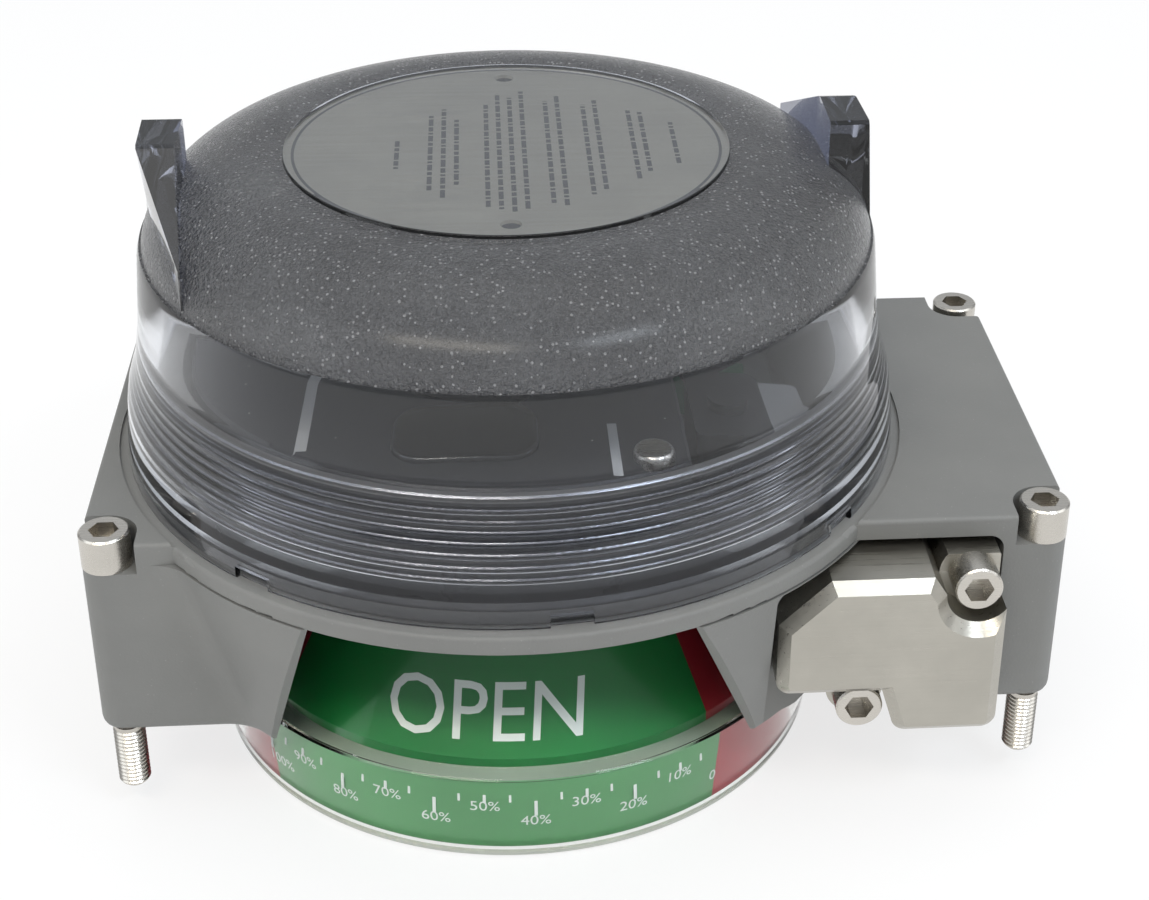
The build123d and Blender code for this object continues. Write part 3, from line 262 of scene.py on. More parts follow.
def moulded(name, colour, roughness, speck=0.0):
    """Moulded plastic with a fine spark-eroded grain."""
    material, tree, shader = base_material(
        name, Base_Color=colour, Roughness=roughness)
    grain = group_node(tree, GRAIN, (-900, 0), Grain_Scale=3000.0,
                       Patch_Scale=60.0)
    darker = tuple(c * 0.86 for c in colour)
    tone = blend_colours(tree, grain.outputs["Patches"], darker, colour,
                         (-600, 100))
    if speck:
        tone = speckled(tree, tone, speck, 0.07, (0.45, 0.45, 0.43))
    join(tree, tone, shader.inputs["Base Color"])
    vary_roughness(tree, shader, grain.outputs["Patches"], roughness - 0.06,
                   roughness + 0.08)
    bump(tree, shader, grain.outputs["Height"], 0.2, 0.0001)
    return material


def metal(name, colour, roughness, lines=120.0, depth=0.00004):
    """Bare or plated metal with drawn lines and slow stains."""
    material, tree, shader = base_material(
        name, Base_Color=colour, Roughness=roughness, Metallic=1.0)
    grain = group_node(tree, GRAIN, (-900, 0), Grain_Scale=4000.0,
                       Patch_Scale=70.0)
    drawn = group_node(tree, DRAWN, (-900, 300), Scale=lines)
    tone = blend_colours(tree, grain.outputs["Patches"],
                         tuple(c * 0.88 for c in colour), colour, (-600, 100))
    join(tree, tone, shader.inputs["Base Color"])
    vary_roughness(tree, shader, drawn.outputs["Mask"], roughness - 0.05,
                   roughness + 0.1)
    bump(tree, shader, drawn.outputs["Height"], 0.3, depth)
    return material


def clear_plastic(name, colour, roughness, shadow=(0.8, 0.8, 0.82), ior=1.56):
    """Clear moulding that lets light through to what it covers."""
    material, tree, shader = base_material(
        name, Base_Color=colour, Roughness=roughness, IOR=ior,
        Transmission_Weight=1.0)
    grain = group_node(tree, GRAIN, (-900, 0), Grain_Scale=500.0,
                       Patch_Scale=30.0)
    vary_roughness(tree, shader, grain.outputs["Patches"], roughness,
                   roughness + 0.03)
    light = add(tree, "ShaderNodeLightPath", (-200, 500))
    through = add(tree, "ShaderNodeBsdfTransparent", (0, 350),
                  {"Color": (*shadow, 1.0)})
    mix = add(tree, "ShaderNodeMixShader", (350, 200))
    join(tree, light.outputs["Is Shadow Ray"], mix.inputs["Fac"])
    join(tree, shader.outputs["BSDF"], mix.inputs[1])
    join(tree, through.outputs["BSDF"], mix.inputs[2])
    surface = tree.nodes["Material Output"].inputs["Surface"]
    join(tree, mix.outputs["Shader"], surface)
    return material


def frosted_plastic():
    """Grained finish of the dome, half letting light through; its sparkle comes partly
    from the bump and partly from pale specks, which are painted glints.
    """
    material, tree, shader = base_material(
        "frosted polycarbonate", Base_Color=(0.13, 0.132, 0.14), Roughness=0.3,
        IOR=1.58, Transmission_Weight=0.25, Coat_Weight=0.25, Coat_Roughness=0.2)
    grain = group_node(tree, GRAIN, (-900, 0), Grain_Scale=1700.0,
                       Patch_Scale=35.0)
    tone = blend_colours(tree, grain.outputs["Patches"], (0.10, 0.10, 0.105),
                         (0.15, 0.152, 0.16), (-600, 100))
    # pale specks in the base colour are painted glints: bright dots that stand in for the
    # sparkle of highlights on the grain
    tone = speckled(tree, tone, 1300.0, 0.30, (0.36, 0.36, 0.37))
    join(tree, tone, shader.inputs["Base Color"])
    vary_roughness(tree, shader, grain.outputs["Patches"], 0.2, 0.28)
    bump(tree, shader, grain.outputs["Height"], 1.0, 0.0022)
    return material


def sector_print(name, green, red):
    """Printed insert: two green and two red quarters round the axis."""
    material, tree, shader = base_material(name, Roughness=0.4)
    where = add(tree, "ShaderNodeTexCoord", (-1500, 0))
    parts = add(tree, "ShaderNodeSeparateXYZ", (-1300, 0))
    join(tree, where.outputs["Object"], parts.inputs["Vector"])
    back = add(tree, "ShaderNodeMath", (-1100, -60), {1: -1.0},
               operation="MULTIPLY")
    join(tree, parts.outputs["Y"], back.inputs[0])
    angle = add(tree, "ShaderNodeMath", (-900, 0), operation="ARCTAN2")
    join(tree, parts.outputs["X"], angle.inputs[0])
    join(tree, back.outputs[0], angle.inputs[1])
    twice = add(tree, "ShaderNodeMath", (-700, 0),
                {1: 2.0, 2: -2.0 * radians(SECTOR_MIDDLE)},
                operation="MULTIPLY_ADD")
    join(tree, angle.outputs[0], twice.inputs[0])
    wave = add(tree, "ShaderNodeMath", (-500, 0), operation="COSINE")
    join(tree, twice.outputs[0], wave.inputs[0])
    green_here = add(tree, "ShaderNodeMath", (-300, 0), {1: 0.0},
                     operation="GREATER_THAN")
    join(tree, wave.outputs[0], green_here.inputs[0])
    grain = group_node(tree, GRAIN, (-900, 400), Grain_Scale=900.0,
                       Patch_Scale=22.0)
    fresh = blend_colours(tree, green_here.outputs[0], red, green,
                          (-100, -200))
    worn = blend_colours(tree, green_here.outputs[0],
                         tuple(0.8 * c for c in red),
                         tuple(0.8 * c for c in green), (-100, -400))
    tone = blend_colours(tree, grain.outputs["Patches"], worn, fresh, (100, 0))
    join(tree, tone, shader.inputs["Base Color"])
    bump(tree, shader, grain.outputs["Height"], 0.1, 0.0001)
    return material


SECTOR_MIDDLE = -7.4    # degrees from the front to the green sector's middle
PAINT = powder_coat()
STEEL = metal("stainless steel", (0.62, 0.59, 0.54), 0.26)
NICKEL = metal("satin nickel", (0.48, 0.46, 0.41), 0.32, lines=40.0,
               depth=0.00003)
PLATE = metal("plate metal", (0.44, 0.42, 0.35), 0.42, lines=25.0)
BRASS = metal("brass", (0.72, 0.52, 0.22), 0.3)
BRONZE = metal("sintered bronze", (0.45, 0.3, 0.16), 0.5)
DARK_STEEL = metal("dark spring steel", (0.14, 0.14, 0.15), 0.4)
CUT_METAL = metal("thread crests", (0.55, 0.55, 0.56), 0.2)
SHADE = moulded("dark neck wall", (0.02, 0.021, 0.024), 0.3)
RUBBER = moulded("black rubber", (0.02, 0.02, 0.021), 0.62)
BLACK = moulded("black plastic", (0.018, 0.018, 0.02), 0.42)
MODULE = moulded("module grey plastic", (0.018, 0.019, 0.022), 0.5)
LID = moulded("module lid plastic", (0.026, 0.027, 0.031), 0.36, speck=500.0)
GREY = moulded("pale grey plastic", (0.36, 0.36, 0.35), 0.45)
STRIPE = moulded("pale print", (0.55, 0.56, 0.56), 0.5)
SKIN = moulded("drum inside plastic", (0.5, 0.5, 0.48), 0.5)
BOARD = moulded("board green", (0.01, 0.09, 0.04), 0.35)
TERMINAL = moulded("terminal green", (0.03, 0.16, 0.07), 0.4)
BUTTON = moulded("button grey", (0.33, 0.33, 0.33), 0.4)
WHITE = moulded("white print", (0.72, 0.76, 0.76), 0.45)
CLEAR = clear_plastic("clear polycarbonate", (0.82, 0.84, 0.88), 0.02, ior=1.42)
SMOKED = clear_plastic("clear thread", (0.42, 0.43, 0.47), 0.06, ior=1.42)
GRIP = clear_plastic("clear grip", (0.13, 0.145, 0.21), 0.02)
FROST = frosted_plastic()
LENS = clear_plastic("indicator lens", (0.96, 0.98, 0.96), 0.03,
                     (0.9, 0.9, 0.9), ior=1.2)
TINT = clear_plastic("tinted window", (0.16, 0.26, 0.5), 0.05,
                     (0.4, 0.5, 0.7))
PRINT = sector_print("sector print", (0.0, 0.17, 0.03), (0.30, 0.006, 0.016))
PRINT_PALE = sector_print("pale sector print", (0.10, 0.32, 0.13),
                          (0.46, 0.05, 0.07))
LEDGE = moulded("ledge", (0.30, 0.36, 0.30), 0.4)
# pale opaque colour for the lens's foot: painted light, standing in for the light caught
# in the edge of the clear plastic
LENS_EDGE_PAINTED_LIGHT = moulded("lens edge", (0.5, 0.52, 0.47), 0.35)


# ---------------------------------------------------------- piece tools
CAD_WELD = 2e-6
CAD_ANGLE = 30.0
ON_AXIS = 1e-6


def piece_from(name, mesh, body, *materials):
    """Object at the origin that rides on a body."""
    for material in materials:
        mesh.materials.append(material)
    made = bpy.data.objects.new(name, mesh)
    bpy.context.scene.collection.objects.link(made)
    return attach(made, body)


def smooth(mesh, angle=32.0):
    """Smooth shading, sharp where faces meet at more than an angle."""
    for face in mesh.polygons:
        face.use_smooth = True
    mesh.set_sharp_from_angle(angle=radians(angle))
    return mesh


def refined(node, body, material):
    """Merged and smoothly shaded copy of a node, in its place."""
    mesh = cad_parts[node].data.copy()
    mesh.materials.clear()
    tidy = bmesh.new()
    tidy.from_mesh(mesh)
    bmesh.ops.remove_doubles(tidy, verts=tidy.verts, dist=CAD_WELD)
    tidy.to_mesh(mesh)
    tidy.free()
    for layer in list(mesh.attributes):
        if layer.name == "custom_normal":
            mesh.attributes.remove(layer)
    made = piece_from(node + "_finish", smooth(mesh, CAD_ANGLE), body, material)
    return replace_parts(made, node)


def lathe_mesh(name, outline, steps=256):
    """Closed solid turned from a closed loop of (radius, height) in mm."""
    mesh = bpy.data.meshes.new(name)
    tidy = bmesh.new()
    rings = []
    for radius, height in outline:
        if radius < ON_AXIS:
            rings.append([tidy.verts.new((0, 0, height * MM))])
            continue
        ring = []
        for i in range(steps):
            turn = 2 * pi * i / steps
            ring.append(tidy.verts.new(
                (radius * MM * sin(turn), -radius * MM * cos(turn), height * MM)))
        rings.append(ring)
    for k, ring in enumerate(rings):
        after = rings[(k + 1) % len(rings)]
        if len(ring) == 1 and len(after) == 1:
            continue
        for i in range(steps):
            j = (i + 1) % steps
            corners = [ring[i % len(ring)], ring[j % len(ring)],
                       after[j % len(after)], after[i % len(after)]]
            face = list(dict.fromkeys(corners))
            if len(face) > 2:
                tidy.faces.new(face)
    bmesh.ops.recalc_face_normals(tidy, faces=tidy.faces)
    tidy.to_mesh(mesh)
    tidy.free()
    return mesh


def arc(centre_r, centre_z, width, height, start, end, count):
    """Points of an elliptical arc as (radius, height), angles from +radius."""
    points = []
    for i in range(count + 1):
        turn = radians(start + (end - start) * i / count)
        points.append((centre_r + width * cos(turn), centre_z + height * sin(turn)))
    return points


def taken(object_):
    """Plain mesh of an object with its modifiers applied."""
    graph = bpy.context.evaluated_depsgraph_get()
    mesh = bpy.data.meshes.new_from_object(object_.evaluated_get(graph))
    bpy.data.objects.remove(object_)
    return mesh


def loose(name, data):
    """Object in the scene that rides on no body."""
    made = bpy.data.objects.new(name, data)
    bpy.context.scene.collection.objects.link(made)
    return made


def combined(first, second, operation="UNION"):
    """Exact union or difference of two meshes."""
    one = loose("one", first)
    other = loose("other", second)
    cut = one.modifiers.new("cut", "BOOLEAN")
    cut.operation = operation
    cut.solver = "EXACT"
    cut.object = other
    bpy.context.view_layer.update()
    mesh = taken(one)
    bpy.data.objects.remove(other)
    return mesh


def box_mesh(name, lowest, highest):
    """Box between two corners, in millimetres."""
    mesh = bpy.data.meshes.new(name)
    tidy = bmesh.new()
    bmesh.ops.create_cube(tidy, size=1.0)
    for vert in tidy.verts:
        for i in range(3):
            middle = (lowest[i] + highest[i]) / 2
            vert.co[i] = (middle + vert.co[i] * (highest[i] - lowest[i])) * MM
    tidy.to_mesh(mesh)
    tidy.free()
    return mesh


# ------------------------------------------------------- geometry nodes
def node_tree(name, inputs):
    """Geometry node group with named inputs and one geometry output."""
    tree = bpy.data.node_groups.new(name, "GeometryNodeTree")
    for label, kind, value in inputs:
        made = tree.interface.new_socket(label, in_out="INPUT", socket_type=kind)
        if value is not None:
            made.default_value = value
    tree.interface.new_socket("Geometry", in_out="OUTPUT",
                              socket_type="NodeSocketGeometry")
    return tree, add(tree, "NodeGroupInput"), add(tree, "NodeGroupOutput")


def maths(tree, operation, *terms):
    """Result of a sum on numbers or on the outputs of other nodes."""
    made = add(tree, "ShaderNodeMath", operation=operation)
    for i, value in enumerate(terms):
        if isinstance(value, (int, float)):
            made.inputs[i].default_value = value
        else:
            join(tree, value, made.inputs[i])
    return made.outputs[0]


def finish_copies(tree, enter, leave, copies):
    """Turns a tree's copies into plain faces of its material."""
    real = add(tree, "GeometryNodeRealizeInstances")
    join(tree, copies.outputs[0], real.inputs[0])
    paint = add(tree, "GeometryNodeSetMaterial")
    join(tree, real.outputs[0], paint.inputs["Geometry"])
    join(tree, enter.outputs["Material"], paint.inputs["Material"])
    join(tree, paint.outputs[0], leave.inputs["Geometry"])


def build_tick_ring():
    """Flat bars set round the Z axis at equal angles."""
    tree, enter, leave = node_tree("tick ring", [
        ("Count", "NodeSocketInt", 10), ("Start", "NodeSocketFloat", 0.0),
        ("Step", "NodeSocketFloat", 0.1), ("Radius", "NodeSocketFloat", 0.05),
        ("Height", "NodeSocketFloat", 0.0), ("Width", "NodeSocketFloat", 0.001),
        ("Length", "NodeSocketFloat", 0.005),
        ("Thickness", "NodeSocketFloat", 0.0002),
        ("Tilt", "NodeSocketFloat", 0.0),
        ("Material", "NodeSocketMaterial", None)])
    line = add(tree, "GeometryNodeMeshLine")
    join(tree, enter.outputs["Count"], line.inputs["Count"])
    index = add(tree, "GeometryNodeInputIndex").outputs[0]
    step = maths(tree, "MULTIPLY", index, enter.outputs["Step"])
    turn = maths(tree, "ADD", step, enter.outputs["Start"])
    radius = enter.outputs["Radius"]
    x = maths(tree, "MULTIPLY", maths(tree, "SINE", turn), radius)
    y = maths(tree, "MULTIPLY", maths(tree, "COSINE", turn), radius)
    place = add(tree, "ShaderNodeCombineXYZ")
    join(tree, x, place.inputs["X"])
    join(tree, maths(tree, "MULTIPLY", y, -1.0), place.inputs["Y"])
    join(tree, enter.outputs["Height"], place.inputs["Z"])
    put = add(tree, "GeometryNodeSetPosition")
    join(tree, line.outputs["Mesh"], put.inputs["Geometry"])
    join(tree, place.outputs[0], put.inputs["Position"])
    size = add(tree, "ShaderNodeCombineXYZ")
    join(tree, enter.outputs["Width"], size.inputs["X"])
    join(tree, enter.outputs["Thickness"], size.inputs["Y"])
    join(tree, enter.outputs["Length"], size.inputs["Z"])
    bar = add(tree, "GeometryNodeMeshCube")
    join(tree, size.outputs[0], bar.inputs["Size"])
    spin = add(tree, "ShaderNodeCombineXYZ")
    join(tree, enter.outputs["Tilt"], spin.inputs["X"])
    join(tree, turn, spin.inputs["Z"])
    copies = add(tree, "GeometryNodeInstanceOnPoints")
    join(tree, put.outputs[0], copies.inputs["Points"])
    join(tree, bar.outputs["Mesh"], copies.inputs["Instance"])
    join(tree, spin.outputs[0], copies.inputs["Rotation"])
    finish_copies(tree, enter, leave, copies)
    return tree


def build_thread_stack():
    """Thread ridges along Z: equal rings, one pitch apart."""
    tree, enter, leave = node_tree("thread stack", [
        ("Count", "NodeSocketInt", 10), ("Pitch", "NodeSocketFloat", 0.001),
        ("Radius", "NodeSocketFloat", 0.002), ("Ridge", "NodeSocketFloat", 0.0004),
        ("Base", "NodeSocketVector", None), ("Segments", "NodeSocketInt", 48),
        ("Material", "NodeSocketMaterial", None)])
    step = add(tree, "ShaderNodeCombineXYZ")
    join(tree, enter.outputs["Pitch"], step.inputs["Z"])
    line = add(tree, "GeometryNodeMeshLine")
    join(tree, enter.outputs["Count"], line.inputs["Count"])
    join(tree, enter.outputs["Base"], line.inputs["Start Location"])
    join(tree, step.outputs[0], line.inputs["Offset"])
    round_path = add(tree, "GeometryNodeCurvePrimitiveCircle")
    join(tree, enter.outputs["Segments"], round_path.inputs["Resolution"])
    join(tree, enter.outputs["Radius"], round_path.inputs["Radius"])
    section = add(tree, "GeometryNodeCurvePrimitiveCircle",
                  values={"Resolution": 4})
    join(tree, enter.outputs["Ridge"], section.inputs["Radius"])
    ring = add(tree, "GeometryNodeCurveToMesh")
    join(tree, round_path.outputs["Curve"], ring.inputs["Curve"])
    join(tree, section.outputs["Curve"], ring.inputs["Profile Curve"])
    copies = add(tree, "GeometryNodeInstanceOnPoints")
    join(tree, line.outputs["Mesh"], copies.inputs["Points"])
    join(tree, ring.outputs[0], copies.inputs["Instance"])
    finish_copies(tree, enter, leave, copies)
    return tree


TICKS = build_tick_ring()
THREAD = build_thread_stack()


def grown(name, tree, **values):
    """Runs a node tree on an empty mesh and returns the plain mesh."""
    made = loose(name, bpy.data.meshes.new(name))
    modifier = made.modifiers.new("nodes", "NODES")
    modifier.node_group = tree
    for item in tree.interface.items_tree:
        if item.in_out == "INPUT":
            key = item.name.replace(" ", "_")
            if key in values:
                modifier[item.identifier] = values[key]
    bpy.context.view_layer.update()
    return taken(made)


def merged(name, meshes):
    """One mesh out of several, keeping their materials."""
    result = bpy.data.meshes.new(name)
    tidy = bmesh.new()
    for mesh in meshes:
        start = len(result.materials)
        for material in mesh.materials:
            result.materials.append(material)
        before = len(tidy.faces)
        tidy.from_mesh(mesh)
        tidy.faces.ensure_lookup_table()
        for face in tidy.faces[before:]:
            face.material_index += start
    tidy.to_mesh(result)
    tidy.free()
    return result


# --------------------------------------------------------------- lettering
PRINT_THICKNESS = 0.04


def letters(text, size, cell=0.9):
    """Flat mesh of a word, centred, cut into cells so that it bends well."""
    curve = bpy.data.curves.new("word", "FONT")
    curve.body = text
    curve.size = size * MM
    curve.align_x = "CENTER"
    curve.align_y = "CENTER"
    curve.extrude = PRINT_THICKNESS * MM / 2
    curve.resolution_u = 3
    holder = loose("word", curve)
    bpy.context.view_layer.update()
    mesh = taken(holder)
    tidy = bmesh.new()
    tidy.from_mesh(mesh)
    bmesh.ops.remove_doubles(tidy, verts=tidy.verts, dist=1e-7)
    for axis in (0, 1):
        values = [v.co[axis] for v in tidy.verts]
        at = min(values)
        while at < max(values):
            at += cell * MM
            normal = Vector((1, 0, 0)) if axis == 0 else Vector((0, 1, 0))
            bmesh.ops.bisect_plane(
                tidy, geom=tidy.verts[:] + tidy.edges[:] + tidy.faces[:],
                plane_co=normal * at, plane_no=normal)
    tidy.to_mesh(mesh)
    tidy.free()
    return mesh


def wrap(mesh, azimuth, radius_low, z_low, radius_high, z_high, middle):
    """Bends a flat word round Z onto a cone between two heights."""
    slant = hypot(radius_high - radius_low, z_high - z_low)
    up = Vector(((radius_high - radius_low) / slant, (z_high - z_low) / slant))
    out = Vector((up.y, -up.x))
    for vert in mesh.vertices:
        along = middle * slant + vert.co.y / MM
        radius = radius_low + up.x * along
        height = z_low + up.y * along
        turn = radians(azimuth) + vert.co.x / MM / radius
        radius += out.x * vert.co.z / MM
        height += out.y * vert.co.z / MM
        vert.co = Vector((radius * sin(turn), -radius * cos(turn), height)) * MM
    return mesh


# ------------------------------------------------------------ the housing
refined("housing", "base", PAINT)
NECK_TOP = high("housing").z
FLANGE_TOP = low("cover").z - 0.3
THREAD_PITCH = 2.0
NECK_RADIUS = 61.0
NECK_SEGMENTS = 192


def make_neck():
    """Thread crests of the neck and the dark wall between them."""
    crests = grown(
        "neck thread", THREAD, Count=8, Pitch=THREAD_PITCH * MM,
        Radius=NECK_RADIUS * MM, Ridge=0.30 * MM,
        Base=(0, 0, (FLANGE_TOP + 6.4) * MM), Segments=NECK_SEGMENTS,
        Material=CUT_METAL)
    piece_from("neck_thread", smooth(crests, 60), "base")
    inner, outer = 61.02, 61.06
    foot, top = FLANGE_TOP + 1.2, NECK_TOP - 0.2
    sleeve = lathe_mesh("sleeve", [(inner, foot), (outer, foot), (outer, top),
                                   (inner, top)], NECK_SEGMENTS)
    piece_from("neck_finish", smooth(sleeve), "base", SHADE)


make_neck()


# -------------------------------------------------------------- the cover
LUG_RISE = 4.0          # the grips' height over the crown
RIM = low("cover").z
CROWN = high("cover").z - LUG_RISE
THREAD_START = RIM + 5.2
THREAD_TURNS = 7
THREAD_BORE = 61.35
THREAD_ROOT = 62.25
FLAT = 40.0             # radius at which the crown starts to fall
SHOULDER = CROWN - 16.0
DOME_WIDTH = 22.35
DOME_HEIGHT = 15.85
DOME_EDGE = 7.0         # degrees over the shoulder at which the dome ends
POCKET = CROWN - 1.6    # top of the hollow over the dome
NOTCHES = 8


def cover_profile():
    """Closed loop of the cover's wall, outside first, with its thread."""
    outside = [(0.0, CROWN), (37.0, CROWN), (37.4, CROWN), (37.6, CROWN - 0.1),
               (37.75, CROWN - 0.5), (38.3, CROWN - 0.58), (39.2, CROWN - 0.45),
               (FLAT, CROWN - 0.26), (41.0, CROWN - 0.17)]
    outside += arc(FLAT, SHOULDER, DOME_WIDTH, DOME_HEIGHT, 86.0, DOME_EDGE, 30)
    edge = SHOULDER + DOME_HEIGHT * sin(radians(DOME_EDGE))
    outside += [(62.5, edge), (62.6, edge - 0.25), (62.9, edge - 1.2)]
    outside += [(64.0, RIM + 24.4), (64.9, RIM + 18.6), (65.15, RIM + 17.4),
                (65.6, RIM + 15.8), (66.2, RIM + 14.0), (66.75, RIM + 12.2),
                (67.1, RIM + 10.2), (67.3, RIM + 8.2), (67.7, RIM + 3.8),
                (67.95, RIM + 0.8), (67.8, RIM + 0.15), (67.6, RIM)]
    groove = [(66.6, RIM), (66.6, RIM + 2.95), (63.4, RIM + 2.95), (63.4, RIM)]
    inside = [(61.6, RIM), (THREAD_BORE, RIM + 0.5),
              (THREAD_BORE, THREAD_START - 0.2)]
    for turn in range(THREAD_TURNS):
        base = THREAD_START + turn * THREAD_PITCH
        inside += [(THREAD_BORE, base), (THREAD_ROOT, base + 0.62),
                   (THREAD_ROOT, base + 0.95), (THREAD_BORE, base + 1.57)]
    top = THREAD_START + THREAD_TURNS * THREAD_PITCH
    inside += [(THREAD_BORE, top), (61.3, top + 1.6), (60.6, top + 2.9),
               (60.35, top + 4.0), (59.8, SHOULDER - 1.5), (59.5, SHOULDER)]
    inside += arc(FLAT, SHOULDER, 19.5, 13.0, 0.0, 90.0, 24)
    pocket = [(37.9, CROWN - 3.0), (37.8, POCKET), (0.0, POCKET)]
    return outside + groove + inside + pocket


def lug_mesh(side):
    """Ratchet grip: steep back, flat top and a ramp, on one side."""
    back, flat, tail = 3.8, -8.4, -34.2
    face, taper = -54.4, 0.1139
    wall, lean = 62.3, 0.06
    top = CROWN + LUG_RISE
    foot = CROWN - 15.0
    ridge = [(back + 0.6, foot), (back, top - 0.6), (back - 0.6, top),
             (flat + 0.6, top), (flat - 0.6, top - 0.25), (tail, top - 11.4),
             (tail - 0.4, foot)]
    outline = []
    for y, z in ridge:
        inner = face if y > flat else face + (flat - y) * taper
        reach = wall - (z - foot) * lean
        outer = -(max(reach * reach - y * y, 0.0) ** 0.5)
        outline.append((outer, inner, y, z))
    mesh = bpy.data.meshes.new("lug")
    tidy = bmesh.new()
    outer_row, inner_row = [], []
    for outer, inner, y, z in outline:
        outer_row.append(tidy.verts.new((outer * MM, y * MM, z * MM)))
        inner_row.append(tidy.verts.new((inner * MM, y * MM, z * MM)))
    count = len(outline)
    for i in range(count):
        j = (i + 1) % count
        tidy.faces.new([outer_row[i], outer_row[j], inner_row[j], inner_row[i]])
    tidy.faces.new(outer_row)
    tidy.faces.new(inner_row[::-1])
    step = 1.5 * MM
    at = -36 * MM
    while at < 4 * MM:      # slices, so that the outer side can be round
        bmesh.ops.bisect_plane(
            tidy, geom=tidy.verts[:] + tidy.edges[:] + tidy.faces[:],
            plane_co=(0, at, 0), plane_no=(0, 1, 0))
        at += step
    if side > 0:
        bmesh.ops.rotate(tidy, verts=tidy.verts, matrix=Matrix.Rotation(pi, 3, "Z"))
    bmesh.ops.recalc_face_normals(tidy, faces=tidy.faces)
    tidy.to_mesh(mesh)
    tidy.free()
    return mesh


def dome_core():
    """Solid that fills the inside of the dome and half of its wall."""
    outline = [(0.0, SHOULDER - 4.0), (60.9, SHOULDER - 4.0), (60.9, SHOULDER)]
    outline += arc(FLAT, SHOULDER, 20.9, 14.4, 2.0, 90.0, 24)
    return lathe_mesh("core", outline + [(0.0, POCKET)], 160)


def cover_look(face):
    """Place of a face's material in CLEAR, FROST, GRIP, SMOKED."""
    centre = face.center / MM
    radius = hypot(centre.x, centre.y)
    across = max(radius - FLAT, 0.0) / DOME_WIDTH
    distance = hypot(across, (centre.z - SHOULDER) / DOME_HEIGHT)
    on_dome = abs(distance - 1.0) < 0.012 or radius < 41.5
    if radius > 51.0 and centre.z > SHOULDER + 2.0 and not on_dome \
            and distance > 1.0:
        return 2
    if face.normal.z > 0.05 and 37.75 < radius < 62.45 and on_dome:
        return 1
    if radius < 62.4 and RIM + 4 < centre.z < RIM + 22:
        return 3
    return 0


def make_cover():
    """Turned shell with its two grips and the notches of its rim."""
    shell = lathe_mesh("cover", cover_profile(), 320)
    for side in (-1, 1):
        lug = combined(lug_mesh(side), dome_core(), "DIFFERENCE")
        shell = combined(shell, lug)
    for i in range(NOTCHES):
        turn = radians(-83.5 + 360 / NOTCHES * i)
        notch = box_mesh("notch", (66.8, -3.4, RIM - 1), (70, 3.4, RIM + 2.2))
        notch.transform(Matrix.Rotation(turn, 4, "Z"))
        shell = combined(shell, notch, "DIFFERENCE")
    shell.materials.clear()
    looks = [cover_look(face) for face in shell.polygons]
    made = piece_from("cover_shell", smooth(shell, 28), "cover",
                      CLEAR, FROST, GRIP, SMOKED)
    for face, look in zip(shell.polygons, looks):
        face.material_index = look
    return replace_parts(made, "cover")


make_cover()


# ----------------------------------------------------------- the nameplate
def make_nameplate():
    """Brushed disc with a border and rows of plain dashes."""
    top = high("nameplate_disc").z
    refined("nameplate_disc", "cover", PLATE)
    bars = []
    rows = [(-19.0, -9, 3), (-13.4, -18, 14), (-11.2, -21, 17), (-9.0, -16, 12),
            (-3.9, -25, 19), (-1.8, -26, 24), (0.3, -27, 22), (2.4, -26, 25),
            (6.6, -24, 20), (8.7, -25, 23), (13.2, -21, 18), (15.3, -19, 20),
            (21.0, -15, 15), (23.0, -12, 14), (28.0, -9, 9)]
    gap, width, ink = 0.7, 0.8, 0.03
    shortest, growth = 0.7, 0.55
    for row, (x, start, end) in enumerate(rows):
        at, turn = start, row
        while at < end:
            reach = min(at + shortest + growth * ((turn * 7) % 5), end)
            bars.append(box_mesh("dash", (x, at, top),
                                 (x + width, reach, top + ink)))
            at, turn = reach + gap, turn + 1
    lines = merged("plate_lines", bars)
    piece_from("nameplate_lines", lines, "cover", BLACK)
    ring = lathe_mesh("border", [(35.8, top), (36.3, top), (36.3, top + 0.04),
                                 (35.8, top + 0.04)], 128)
    piece_from("nameplate_border", ring, "cover", BLACK)


make_nameplate()


# ------------------------------------------------------ the indicator drum
DRUM_TOP = high("indicator_lens").z
DRUM_FOOT = low("indicator_lens").z
CONE_TOP_RADIUS = 33.93
CONE_FOOT_RADIUS = 51.78
SKIRT_TOP = -1.98
SKIRT_TOP_RADIUS = 55.06
SKIRT_FOOT = DRUM_FOOT + 1.0
SKIRT_FOOT_RADIUS = 53.36
SKIRT_SLOPE = 0.1132    # radius lost for each millimetre down the skirt
SCALE_ZERO = 37.9       # degrees from the front to the scale's zero
LENS_WALL = 1.75


